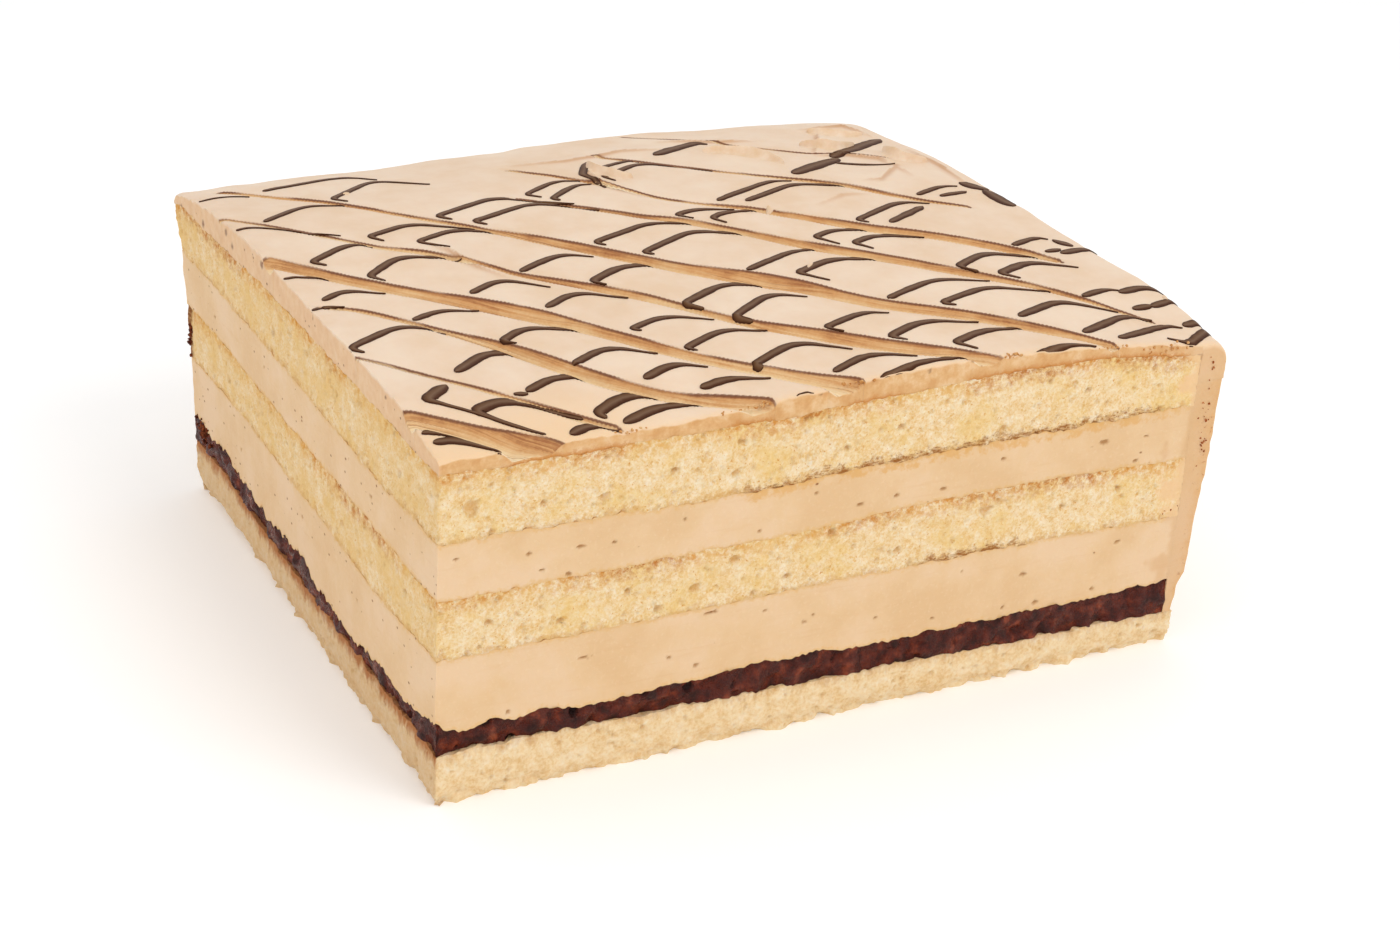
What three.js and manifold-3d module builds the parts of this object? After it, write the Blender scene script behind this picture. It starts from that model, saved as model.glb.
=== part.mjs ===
// A square block of layered tiramisu cake, cut on its two near sides.
// From the bottom up it has a pale sponge, a dark fruit filling, coffee cream, yellow sponge, cream,
// yellow sponge and a cream top that also coats the outer right side.
// The top is feathered: chocolate lines piped side by side over wet cream, then combed slantwise,
// so that each stroke leaves a groove and pulls the lines out into hooks and tails.
//
// Millimetres, +Z up. While it is built, the near bottom corner is at the origin, the right cut face
// runs along +X and the left cut face along +Y. At the end the block is moved to stand on its centre.

import * as THREE from "three";
import { mergeVertices } from "three/addons/utils/BufferGeometryUtils.js";
import Module from "manifold-3d";

const { lerp, smoothstep, degToRad, seededRandom } = THREE.MathUtils;
const wasm = await Module();
wasm.setup();

// ---- Driving dimensions ------------------------------------------------------------------------

const TOP_LENGTH = 203; // along the right cut face, at the top edge of the coat
const TOP_DEPTH = 183; // along the left cut face, at the lip of the cream top
const TOP_HEIGHT = 88.3; // the flat middle of the cream top
const GAP = 0.3; // between neighbouring layers

const FILLED_LENGTH = 195.2; // where the layers end behind the coat
const BASE_LENGTH = 198; // the base sponge reaches under the coat
const INNER_CORNER = 6; // corner radius of the layers at the far right
const OUTER_CORNER = 14; // corner radius of the coat there

// The boundary above each layer: its mean height, how far back it reaches, and the swells
// [rise, centre, spread] that it shows along the right and the left cut face.
const BOUNDARIES = {
  base_top: {
    height: 12.2,
    back: 169.5,
    swellsX: [[1.2, 0, 60], [-2.9, 200, 90]],
    swellsY: [[2, 150, 32]],
  },
  filling_top: {
    height: 18,
    back: 170.5,
    swellsX: [[0.9, 75, 30]],
    swellsY: [[3.6, 146, 18], [-1.7, 55, 28]],
  },
  cream_top: {
    height: 37.2,
    back: 171.5,
    swellsX: [[-1, 195, 30]],
    swellsY: [[-1.8, 35, 25], [1.3, 130, 25]],
  },
  sponge_top: {
    height: 51.4,
    back: 174,
    swellsX: [[2, 140, 45]],
    swellsY: [[1, 145, 20]],
  },
  middle_top: {
    height: 65.3,
    back: 177.3,
    swellsX: [[-1.1, 66, 20], [0.8, 165, 40]],
    swellsY: [[-1.2, 40, 40]],
  },
  stack_top: {
    height: 81,
    back: 182,
    swellsX: [[1.9, 150, 45]],
    swellsY: [[-2.9, 170, 45]],
  },
};
const LEAST_TOP_CREAM = 3.2; // over the uppermost sponge, before the grooves

// How each layer's outer sides stand out between its boundaries, and how rough its sides are.
const LAYERS = {
  dark_filling: { from: "base_top", to: "filling_top", bulge: 1.2, cutRough: 0.5, outerRough: 0.9 },
  lower_cream: { from: "filling_top", to: "cream_top", bulge: 2.4, cutRough: 0.1, outerRough: 0.5 },
  middle_sponge: { from: "cream_top", to: "sponge_top", bulge: -0.8, cutRough: 0.3, outerRough: 1.1 },
  middle_cream: { from: "sponge_top", to: "middle_top", bulge: 3.8, cutRough: 0.1, outerRough: 0.5 },
  top_sponge: { from: "middle_top", to: "stack_top", bulge: -0.9, cutRough: 0.3, outerRough: 0.9 },
};
const WALL_RINGS = [0.3, 0.7]; // rings between a layer's bottom and top
const FILLING_LUMPS = 1.1; // the jam's lumps stand up and down this far at its upper edge

// The base sponge's foot is drawn in and crumbly: [height, how far its sides are drawn in, and how
// much further at the far end of the left cut face].
const FOOT = [[0, 1.4, 2.4], [1.6, 0.4, 1.6], [6, 0, 0.3]];
const FAR_FOOT_FROM = 70;
const BASE_BACK = 168.6;
const FOOT_ROUGH = 0.7;

// The outer right side of the coat and the lip at the back: [height, length, depth]. The lowest
// ring follows the top of the base sponge instead of a height of its own.
const COAT = [
  [0, 197.6, 168.5],
  [17.2, 198.4, 170.5],
  [20.4, 200.4, 171],
  [33, 200.6, 173],
  [47, 201.4, 175],
  [60, 202.2, 178.5],
  [73, 202.4, 181.5],
];
// The rounded upper edge of the coat: [below the dome, drawn in from the full size]. The last ring
// lies well above the dome, where the feathered surface takes over.
const SHOULDER = [[4.5, 0], [2, 0.5], [0.7, 1.7], [0, 3.6], [-14, 7]];
const COAT_ROUGH = 0.45;

// The cream top is flat in the middle, falls towards the outer sides and dips at the near corner.
// Each fall eases off to farShare of its drop, by the place easedAt beyond the cut face it starts at.
const RIGHT_FALL = { drop: 7, start: 125, power: 1.6, farShare: 0.48, easedAt: 34 };
const BACK_FALL = { drop: 9, start: 105, power: 2.2, farShare: 0.72, easedAt: 170 };
const NEAR_DIP = { drop: 3.8, spread: 15, fadeFrom: 50, fadeTo: 120 };

// Positions on the top are also given slantwise: across = x + y counts from stroke to stroke, and
// along = x - y runs with the strokes. Each stroke of the comb is a row of knots
// [along, across, width].
const STROKES = [
  [[-60, -12, 0], [60, -12, 0]],
  [[-20, 16, 5.5], [0, 18.5, 6], [17, 20.5, 9.5], [30, 21, 10]],
  [[-48, 47.7, 1], [-18, 43.5, 1.3], [8, 42.3, 1.8], [38, 42.8, 2.5]],
  [
    [-75, 80, 1], [-62, 82.3, 2], [-33, 77.5, 2.4], [-3, 72, 5.9], [12, 67.8, 6.3], [26, 65.2, 5.6],
    [39, 65.5, 4.4], [51, 68, 4.5], [63, 72, 5.7], [76, 75.7, 5.7],
  ],
  [
    [-108, 107.8, 5.8], [-79, 104, 5.2], [-50, 103.4, 5.6], [-22, 102.8, 7.9], [-8, 101.3, 7.8],
    [7, 99, 6.1], [36, 94.3, 5.3], [50, 93.2, 4.6], [75, 95, 4.8], [99, 96.8, 6.9],
  ],
  [
    [-144, 143.6, 1.5], [-110, 138.7, 1.3], [-79, 135.8, 2], [-62, 137.8, 3.1], [-42, 135.8, 2.4],
    [-27, 133.6, 2.4], [2, 133.3, 4.6], [16, 132.8, 4.5], [30, 130.5, 3.7], [45, 127.6, 3.9],
    [60, 126, 5], [86, 126.8, 6.7], [112, 129.6, 6.7], [137, 134.5, 4.3],
  ],
  [
    [-162, 180.7, 2.5], [-120, 175.3, 2.6], [-87, 170, 2.1], [-55, 167.6, 2.6], [-25, 166.2, 5.6],
    [5, 164, 6.1], [20, 163, 6.3], [48, 164.4, 8.9], [62, 164.6, 8.2], [78, 162.2, 6.4],
    [92, 161.6, 6.2], [117, 164.7, 5.9], [144, 167.1, 5.6], [167, 169.3, 3.5],
  ],
  [
    [-55, 204.1, 1.6], [-9, 204.9, 2.8], [6, 206.6, 4.1], [21, 206, 4], [51, 203.5, 5.4],
    [66, 203.4, 6.1], [109, 204, 4.9], [137, 204.5, 3.5], [176, 200.5, 1],
  ],
  [
    [-72, 239.5, 1.6], [-42, 234.4, 2.2], [-22, 228, 2], [-8, 226.4, 1.5], [7, 227.5, 1.6],
    [21, 229.6, 2.9], [51, 230.9, 5.2], [70, 232, 6], [94, 236.6, 5.4], [123, 237.8, 5.2],
    [136, 236, 3],
  ],
  [
    [-49, 268.6, 1.6], [-14, 266, 1.8], [17, 268.3, 1.8], [47, 273.2, 3.4], [78, 273.2, 2.5],
    [95, 276, 1.5],
  ],
  [[-50, 306, 0.7], [22, 308, 1.5], [42, 315.5, 1.8], [54, 317, 0.8]],
  [[-60, 350, 0], [60, 350, 0]],
  [[-60, 404, 0], [60, 404, 0]],
];
const GROOVE_DEPTH_SHARE = 0.3; // of the groove's width
const LEAST_GROOVE = 0.7; // width of a stroke where it only touches the cream
const GROOVE_RIM = 0.3; // the cream pushed up beside a groove

// The columns of the top's grid in the strip from one stroke to the next: how many half grooves off
// the middle of both strokes its sides are, where the column lies between those sides, how deep it
// is sunk in the groove, how much it shares in the rim, and how much in a chocolate line's rise.
const STRIP_COLUMNS = [
  { offStroke: 0, offNext: 1, between: 0, sunk: 1, rim: 0, line: 0 },
  { offStroke: 0.7, offNext: 1, between: 0, sunk: 0.8, rim: 0, line: 0 },
  { offStroke: 1.2, offNext: 1.2, between: 0.02, sunk: 0, rim: 1, line: 0.4 },
  { offStroke: 1.2, offNext: 1.2, between: 0.16, sunk: 0, rim: 0, line: 1 },
  { offStroke: 1.2, offNext: 1.2, between: 0.5, sunk: 0, rim: 0, line: 1 },
  { offStroke: 1.2, offNext: 1.2, between: 0.82, sunk: 0, rim: 0, line: 1 },
  { offStroke: 1.2, offNext: 1.2, between: 0.98, sunk: 0, rim: 1, line: 0.4 },
  { offStroke: 1, offNext: 0.7, between: 1, sunk: 0.8, rim: 0, line: 0 },
];

// The chocolate lines: where each crosses the slant line across = LINE_STATION, and its tilt.
const LINE_STATION = 160;
const LINES = [
  [-150, 0.45], [-126, 0.3], [-83, 0.4], [-70, 0.28], [-25, 0.38], [-2.5, 0.25], [33, 0.31],
  [51, 0.22], [88, 0.4], [105.5, 0.33], [124, 0.5], [151, 0.5], [172, 0.5], [187, 0.5],
];
const LINE_HALF = 1.7; // half a line's size along a stroke
const LINE_CLEARANCE = 0.8; // the least cream between two lines, along a stroke
const LINE_RISE = 0.8; // height of a line over the cream
const DRAG = 26; // how far a stroke pulls the lines along
const HOOK_FADE = 2.2; // how fast the pull fades past a stroke
const TAIL_FADE = 5; // and how fast it builds up before one
const PLAIN_GAP = 25; // wider strips of cream between two lines get a row of their own
const BEFORE_LINES = [-60, -30]; // rows of plain cream before the first line
const AFTER_LINES = [18, 45]; // and after the last

// Thick ends of the piped chocolate: centre, length, width and turn in degrees.
const BLOBS = [
  { x: 157, y: 128.5, length: 14, width: 5, turn: 27 },
  { x: 168, y: 134, length: 14, width: 3.6, turn: 8 },
  { x: 182, y: 142, length: 22, width: 4.6, turn: 25 },
  { x: 132, y: 155, length: 19, width: 4.6, turn: 24 },
  { x: 101, y: 145, length: 15, width: 2.8, turn: 82 },
  { x: 195, y: 95, length: 22, width: 4.6, turn: 92 },
  { x: 194, y: 59, length: 9, width: 4, turn: 100 },
  { x: 10, y: 26, length: 15, width: 3, turn: 62 },
];
// Curls that the spatula left in the cream near the far corner, given in the same way.
const CURLS = [
  { x: 90, y: 151, length: 17, width: 5, turn: -52 },
  { x: 148, y: 143, length: 26, width: 5, turn: -50 },
  { x: 172, y: 141, length: 22, width: 5.5, turn: -62 },
  { x: 180, y: 157, length: 20, width: 6, turn: -30 },
];
const BLOB_RISE = 1.2;
const CURL_RISE = 2;
const BLOB_SIDES = 10;
const BLOB_BANDS = 6;

// Steps round a layer's rim, one count for each stretch of it.
const RIM_STEPS = { rightFace: 30, coatSide: 15, corner: 3, backSide: 18, leftFace: 26 };

// The room cut out of the cream for the layers reaches this far past the cut faces and the lip.
const ROOM_MARGIN = 1;

// The random draws: primes that keep neighbouring steps apart, and the first seed of each surface.
const STEP_STRIDE = 7919;
const SEED_STRIDE = 104729;
const SEEDS = { lumps: 1, layers: 2, foot: 20, coat: 40 };

const COLOURS = {
  base_sponge: "#efd0a5",
  dark_filling: "#4a1f14",
  lower_cream: "#e6c498",
  middle_sponge: "#eecd9c",
  middle_cream: "#e8c59f",
  top_sponge: "#edcb9a",
  top_cream: "#e8cdb2",
};
const ROUGHNESS = {
  base_sponge: 0.95,
  dark_filling: 0.35,
  lower_cream: 0.6,
  middle_sponge: 0.95,
  middle_cream: 0.6,
  top_sponge: 0.95,
  top_cream: 0.45,
};

// ---- Heights ------------------------------------------------------------------------------------

const bell = (at, centre, spread) => Math.exp(-(((at - centre) / spread) ** 2));

// A repeatable number from -1 to 1 for a step round the rim and a ring's seed.
const jitter = (step, seed) => 2 * seededRandom(step * STEP_STRIDE + seed * SEED_STRIDE) - 1;

function fall({ drop, start, power, farShare, easedAt }, at, end, beyond) {
  const share = lerp(1, farShare, smoothstep(beyond, 0, easedAt));
  return share * drop * (Math.max(at - start, 0) / (end - start)) ** power;
}

// The cream top's surface before grooves and chocolate.
function dome(x, y) {
  const right = fall(RIGHT_FALL, x, TOP_LENGTH, y);
  const back = fall(BACK_FALL, y, TOP_DEPTH, x);
  const dipShare = 1 - smoothstep(x, NEAR_DIP.fadeFrom, NEAR_DIP.fadeTo);
  return TOP_HEIGHT - right - back - NEAR_DIP.drop * bell(y, 0, NEAR_DIP.spread) * dipShare;
}

function boundaryHeight(name, x, y) {
  const { height, swellsX, swellsY } = BOUNDARIES[name];
  let z = height;
  for (const [rise, centre, spread] of swellsX) {
    z += rise * bell(x, centre, spread) * (1 - y / TOP_DEPTH);
  }
  for (const [rise, centre, spread] of swellsY) {
    z += rise * bell(y, centre, spread) * (1 - x / TOP_LENGTH);
  }
  return name === "stack_top" ? Math.min(z, dome(x, y) - LEAST_TOP_CREAM) : z;
}

// ---- Rims and lofts -----------------------------------------------------------------------------

// The corners of a layer's outline, counterclockwise from the near corner. Each point knows which
// way is outwards and whether it lies on a cut face.
function outline({ length, depth, corner, margin = 0 }) {
  const points = [];
  const straight = (steps, from, to, out, cut) => {
    for (let i = 0; i < steps; i++) {
      points.push({ x: lerp(from[0], to[0], i / steps), y: lerp(from[1], to[1], i / steps), out, cut });
    }
  };
  straight(RIM_STEPS.rightFace, [-margin, -margin], [length, -margin], [0, -1], true);
  straight(RIM_STEPS.coatSide, [length, -margin], [length, depth - corner], [1, 0], false);
  for (let i = 0; i < RIM_STEPS.corner; i++) {
    const angle = ((Math.PI / 2) * i) / RIM_STEPS.corner;
    const out = [Math.cos(angle), Math.sin(angle)];
    points.push({
      x: length - corner + corner * out[0],
      y: depth - corner + corner * out[1],
      out,
      cut: false,
    });
  }
  straight(RIM_STEPS.backSide, [length - corner, depth], [-margin, depth], [0, 1], false);
  straight(RIM_STEPS.leftFace, [-margin, depth], [-margin, -margin], [-1, 0], true);
  return points;
}

// One ring of a loft: an outline, pushed outwards by stand(point, step), at height(point, step).
function ring(points, height, stand = () => 0) {
  return points.map((point, step) => {
    const out = stand(point, step);
    const x = point.x + point.out[0] * out;
    const y = point.y + point.out[1] * out;
    return [x, y, height(point, step)];
  });
}

// A closed solid through a stack of rings, with a fan over the lowest and the highest.
function loft(rings) {
  const count = rings[0].length;
  const positions = rings.flat(2);
  const indices = [];
  for (let level = 0; level + 1 < rings.length; level++) {
    for (let i = 0; i < count; i++) {
      const a = level * count + i;
      const b = level * count + ((i + 1) % count);
      indices.push(a, b, b + count, a, b + count, a + count);
    }
  }
  const centres = [rings[0], rings.at(-1)];
  centres.forEach((rim, end) => {
    const hub = positions.length / 3;
    const start = end * (rings.length - 1) * count;
    positions.push(...[0, 1, 2].map((axis) => rim.reduce((sum, point) => sum + point[axis], 0) / count));
    for (let i = 0; i < count; i++) {
      const a = start + i;
      const b = start + ((i + 1) % count);
      indices.push(...(end ? [hub, a, b] : [hub, b, a]));
    }
  });
  return geometryOf(positions, indices);
}

function geometryOf(positions, indices) {
  const geometry = new THREE.BufferGeometry();
  geometry.setAttribute("position", new THREE.Float32BufferAttribute(positions, 3));
  geometry.setIndex(indices);
  return geometry;
}

function solidOf(geometry) {
  return new wasm.Manifold(
    new wasm.Mesh({
      numProp: 3,
      vertProperties: new Float32Array(geometry.getAttribute("position").array),
      triVerts: new Uint32Array(geometry.index.array),
    }),
  );
}

function geometryOfSolid(solid) {
  const mesh = solid.getMesh();
  return geometryOf(mesh.vertProperties, Array.from(mesh.triVerts));
}

// ---- The layers ---------------------------------------------------------------------------------

const layerOutline = (name) =>
  outline({ length: FILLED_LENGTH, depth: BOUNDARIES[name].back, corner: INNER_CORNER });

// The ring where a layer meets a boundary, half the gap above or below it. Both neighbours use the
// same points, so the gap is the same all round.
function boundaryRing(name, side) {
  const lumps = name === "filling_top" ? FILLING_LUMPS : 0;
  return ring(
    layerOutline(name),
    ({ x, y }, step) => boundaryHeight(name, x, y) + lumps * jitter(step, SEEDS.lumps) + (side * GAP) / 2,
  );
}

function layerGeometry({ from, to, bulge, cutRough, outerRough }, seed) {
  const bottom = boundaryRing(from, 1);
  const top = boundaryRing(to, -1);
  const points = layerOutline(from);
  const walls = WALL_RINGS.map((share, level) =>
    points.map(({ out, cut }, step) => {
      const rough = (cut ? cutRough : outerRough) * jitter(step, seed + level);
      const backwards = cut ? rough : rough + bulge * Math.sin(Math.PI * share);
      return [
        lerp(bottom[step][0], top[step][0], share) + (cut ? out[0] * rough : 0),
        lerp(bottom[step][1], top[step][1], share) + out[1] * backwards,
        lerp(bottom[step][2], top[step][2], share),
      ];
    }),
  );
  return loft([bottom, ...walls, top]);
}

// Past the end of the layers the base sponge's top stays level.
const baseTopHeight = ({ x, y }) => boundaryHeight("base_top", Math.min(x, FILLED_LENGTH), y);

function baseGeometry() {
  const foot = FOOT.map(([height, drawnIn, farther], level) =>
    ring(
      outline({ length: BASE_LENGTH, depth: BASE_BACK, corner: INNER_CORNER }),
      () => height,
      ({ out, y }, step) => {
        const far = out[0] < 0 ? smoothstep(y, FAR_FOOT_FROM, BASE_BACK) : 0;
        return FOOT_ROUGH * jitter(step, SEEDS.foot + level) - drawnIn - farther * far;
      },
    ),
  );
  const top = ring(
    outline({ length: BASE_LENGTH, depth: BOUNDARIES.base_top.back, corner: INNER_CORNER }),
    (point) => baseTopHeight(point) - GAP / 2,
  );
  return loft([...foot, top]);
}

// ---- The feathered top --------------------------------------------------------------------------

// A smooth value through knots [place, value], level beyond both ends.
function through(knots, at) {
  const last = knots.length - 1;
  const next = knots.findIndex(([place]) => place > at);
  if (next === 0) return knots[0][1];
  if (next < 0) return knots[last][1];
  const slope = (i) => {
    const before = knots[Math.max(i - 1, 0)];
    const after = knots[Math.min(i + 1, last)];
    return (after[1] - before[1]) / (after[0] - before[0]);
  };
  const [[place0, value0], [place1, value1]] = [knots[next - 1], knots[next]];
  const span = place1 - place0;
  const t = (at - place0) / span;
  return (
    value0 * (1 + 2 * t) * (1 - t) ** 2 +
    slope(next - 1) * span * t * (1 - t) ** 2 +
    value1 * t * t * (3 - 2 * t) +
    slope(next) * span * t * t * (t - 1)
  );
}

// Half a stroke's groove, measured across the strokes, at a place along it.
function grooveHalf(stroke, along) {
  const knots = stroke.map(([place, , width]) => [place, width]);
  return Math.max(through(knots, along), LEAST_GROOVE) * Math.SQRT1_2;
}

// The columns of the top's grid, from stroke to stroke. Each lies in or beside one stroke's groove.
const COLUMNS = STROKES.slice(0, -1).flatMap((stroke, index) => {
  const next = STROKES[index + 1];
  return STRIP_COLUMNS.map((column) => ({
    ...column,
    stroke,
    next,
    groove: column.between > 0.5 ? next : stroke,
    across(along) {
      const left = through(stroke, along) + grooveHalf(stroke, along) * column.offStroke;
      const right = through(next, along) - grooveHalf(next, along) * column.offNext;
      return lerp(left, right, column.between);
    },
  }));
});

// How far the strokes beside a column have pulled the chocolate along.
function drag(column, across, along) {
  const past = across - through(column.stroke, along) - grooveHalf(column.stroke, along);
  const before = through(column.next, along) - grooveHalf(column.next, along) - across;
  return DRAG * (Math.exp(-Math.max(past, 0) / HOOK_FADE) + Math.exp(-Math.max(before, 0) / TAIL_FADE));
}

// The rows of the top's grid at a place across the strokes: three for each chocolate line, and
// plain ones between the lines that lie far apart. Each is [along, share of a line's rise].
function rowsAt(across) {
  const least = 2 * LINE_HALF + LINE_CLEARANCE;
  const rows = [];
  let before = -Infinity;
  for (const [station, tilt] of LINES) {
    const along = Math.max(station + tilt * (across - LINE_STATION), before + least);
    rows.push([along - LINE_HALF, 0], [along, 1], [along + LINE_HALF, 0]);
    before = along;
  }
  const mids = LINES.slice(1).flatMap(([station], i) => {
    const wide = station - LINES[i][0] > PLAIN_GAP;
    return wide ? [[(rows[3 * i + 1][0] + rows[3 * i + 4][0]) / 2, 0]] : [];
  });
  const [first, last] = [rows[0][0], rows.at(-1)[0]];
  const outside = [...BEFORE_LINES.map((step) => first + step), ...AFTER_LINES.map((step) => last + step)];
  return [...rows, ...mids, ...outside.map((along) => [along, 0])].sort((a, b) => a[0] - b[0]);
}

// A block whose upper side is the feathered top, wider than the cake all round.
function featheredBlock() {
  const grid = COLUMNS.map((column) =>
    rowsAt(column.across(0)).map(([rowAlong, rise]) => {
      const along = rowAlong + drag(column, column.across(rowAlong), rowAlong);
      const across = column.across(along);
      const x = (across + along) / 2;
      const y = (across - along) / 2;
      const depth = 2 * grooveHalf(column.groove, along) * Math.SQRT1_2 * GROOVE_DEPTH_SHARE;
      const relief = GROOVE_RIM * column.rim + LINE_RISE * rise * column.line - depth * column.sunk;
      return [x, y, dome(x, y) + relief];
    }),
  );
  return gridBlock(grid);
}

// A closed block under a grid of points, down to the level of the floor.
function gridBlock(grid) {
  const rows = grid[0].length;
  const half = grid.length * rows;
  const positions = [...grid.flat(2), ...grid.flat().flatMap(([x, y]) => [x, y, 0])];
  const indices = [];
  const quad = (a, b, c, d) => indices.push(a, b, c, a, c, d);
  for (let i = 0; i + 1 < grid.length; i++) {
    for (let j = 0; j + 1 < rows; j++) {
      const a = i * rows + j;
      quad(a, a + 1, a + rows + 1, a + rows);
      quad(a + half, a + half + rows, a + half + rows + 1, a + half + 1);
    }
    const [start, end] = [i * rows, (i + 1) * rows - 1];
    quad(start, start + rows, start + rows + half, start + half);
    quad(end, end + half, end + rows + half, end + rows);
  }
  for (let j = 0; j + 1 < rows; j++) {
    const last = (grid.length - 1) * rows + j;
    quad(j, j + half, j + half + 1, j + 1);
    quad(last, last + 1, last + half + 1, last + half);
  }
  return geometryOf(positions, indices);
}

// The coat and the cream top as one plain block: the outer sides with their rounded upper edge.
function creamBlock() {
  const rough = (seed) => (point, step) => (point.cut ? 0 : COAT_ROUGH * jitter(step, seed));
  const onBase = (point) => baseTopHeight(point) + GAP / 2;
  const sides = COAT.map(([height, length, depth], level) =>
    ring(
      outline({ length, depth, corner: OUTER_CORNER }),
      (point) => height || onBase(point),
      rough(SEEDS.coat + level),
    ),
  );
  const shoulder = SHOULDER.map(([below, drawnIn]) =>
    ring(
      outline({ length: TOP_LENGTH - drawnIn, depth: TOP_DEPTH - drawnIn, corner: OUTER_CORNER }),
      (point) => dome(point.x, point.y) - below,
    ),
  );
  return loft([...sides, ...shoulder]);
}

// The room for the layers under the cream top and behind the coat. It is a little wider than the
// layers, and its ceiling has the heights of the uppermost sponge.
function stackRoom() {
  const points = outline({
    length: FILLED_LENGTH + GAP,
    depth: TOP_DEPTH + ROOM_MARGIN,
    corner: INNER_CORNER,
    margin: ROOM_MARGIN,
  });
  const ceiling = boundaryRing("stack_top", 1);
  return loft([ring(points, () => -ROOM_MARGIN), ring(points, (point, step) => ceiling[step][2])]);
}

// A stretched drop lying on the cream top.
function dropGeometry({ x, y, length, width, turn }, rise) {
  const ball = new THREE.SphereGeometry(1, BLOB_SIDES, BLOB_BANDS);
  ball.rotateX(Math.PI / 2);
  ball.scale(length / 2, width / 2, rise);
  ball.rotateZ(degToRad(turn));
  ball.translate(x, y, dome(x, y));
  ball.deleteAttribute("normal");
  ball.deleteAttribute("uv");
  return mergeVertices(ball);
}

function topGeometry() {
  let top = solidOf(creamBlock()).intersect(solidOf(featheredBlock())).subtract(solidOf(stackRoom()));
  for (const blob of BLOBS) {
    top = top.add(solidOf(dropGeometry(blob, BLOB_RISE)));
  }
  for (const curl of CURLS) {
    top = top.add(solidOf(dropGeometry(curl, CURL_RISE)));
  }
  return geometryOfSolid(top);
}

// ---- The cake -----------------------------------------------------------------------------------

function addLayer(group, name, geometry) {
  const material = new THREE.MeshStandardMaterial({
    color: COLOURS[name],
    roughness: ROUGHNESS[name],
    metalness: 0,
  });
  geometry.computeVertexNormals();
  const mesh = new THREE.Mesh(geometry, material);
  mesh.name = name;
  group.add(mesh);
}

const cake = new THREE.Group();
addLayer(cake, "base_sponge", baseGeometry());
Object.entries(LAYERS).forEach(([name, layer], index) => {
  addLayer(cake, name, layerGeometry(layer, SEEDS.layers + index * (WALL_RINGS.length + 1)));
});
addLayer(cake, "top_cream", topGeometry());

const box = new THREE.Box3().setFromObject(cake, true);
const centre = box.getCenter(new THREE.Vector3());
cake.position.set(-centre.x, -centre.y, -box.min.z);

const part = new THREE.Group();
part.add(cake);

export default part;
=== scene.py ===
"""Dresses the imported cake: porous sponges, cut coffee cream, glossy fruit filling and a top of
cream with chocolate lines combed through it. It stands on a pale floor in soft studio light."""

import functools
import itertools
import math

import bpy
import numpy as np
from bpy.props import FloatProperty, FloatVectorProperty, PointerProperty
from mathutils import Matrix, Vector


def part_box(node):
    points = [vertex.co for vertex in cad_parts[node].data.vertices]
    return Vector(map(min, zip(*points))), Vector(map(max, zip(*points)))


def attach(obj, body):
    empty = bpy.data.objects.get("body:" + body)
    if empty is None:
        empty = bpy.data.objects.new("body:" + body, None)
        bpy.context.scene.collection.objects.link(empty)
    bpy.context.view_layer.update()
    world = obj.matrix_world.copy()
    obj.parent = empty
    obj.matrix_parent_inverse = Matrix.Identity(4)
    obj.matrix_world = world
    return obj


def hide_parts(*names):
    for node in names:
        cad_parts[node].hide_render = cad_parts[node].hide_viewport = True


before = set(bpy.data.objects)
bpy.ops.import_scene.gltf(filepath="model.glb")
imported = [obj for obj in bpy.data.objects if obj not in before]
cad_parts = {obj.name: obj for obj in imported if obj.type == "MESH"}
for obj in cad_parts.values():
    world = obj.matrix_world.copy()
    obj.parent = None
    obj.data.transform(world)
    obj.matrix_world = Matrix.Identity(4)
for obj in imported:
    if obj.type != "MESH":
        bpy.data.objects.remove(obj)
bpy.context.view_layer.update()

bl_info = {
    "name": "Layered coffee cream cake",
    "version": (1, 0, 0),
    "blender": (4, 5, 0),
    "location": "View3D > Sidebar > Cake",
    "description": "Builds the layers, the feathered top and the studio of a tray-baked cream cake",
    "category": "Add Mesh",
}

BODY = "root"
MM = 0.001

# Places are worked out in millimetres from the near bottom corner: x runs along the right cut face,
# y along the left one. SHIFT brings them to the frame, by the near corner of the cream top.
NEAR_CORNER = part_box("top_cream")[0]
SHIFT = np.array([NEAR_CORNER.x, NEAR_CORNER.y, 0]) / MM

# ---- The cake's own measures, in millimetres --------------------------------------------------------

TOP_LENGTH = 203
TOP_DEPTH = 183
TOP_HEIGHT = 88.3
FILLED_LENGTH = 195.2
BASE_LENGTH = 198
BASE_BACK = 168.6
INNER_CORNER = 6
OUTER_CORNER = 14
LEAST_TOP_CREAM = 3.2

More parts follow.
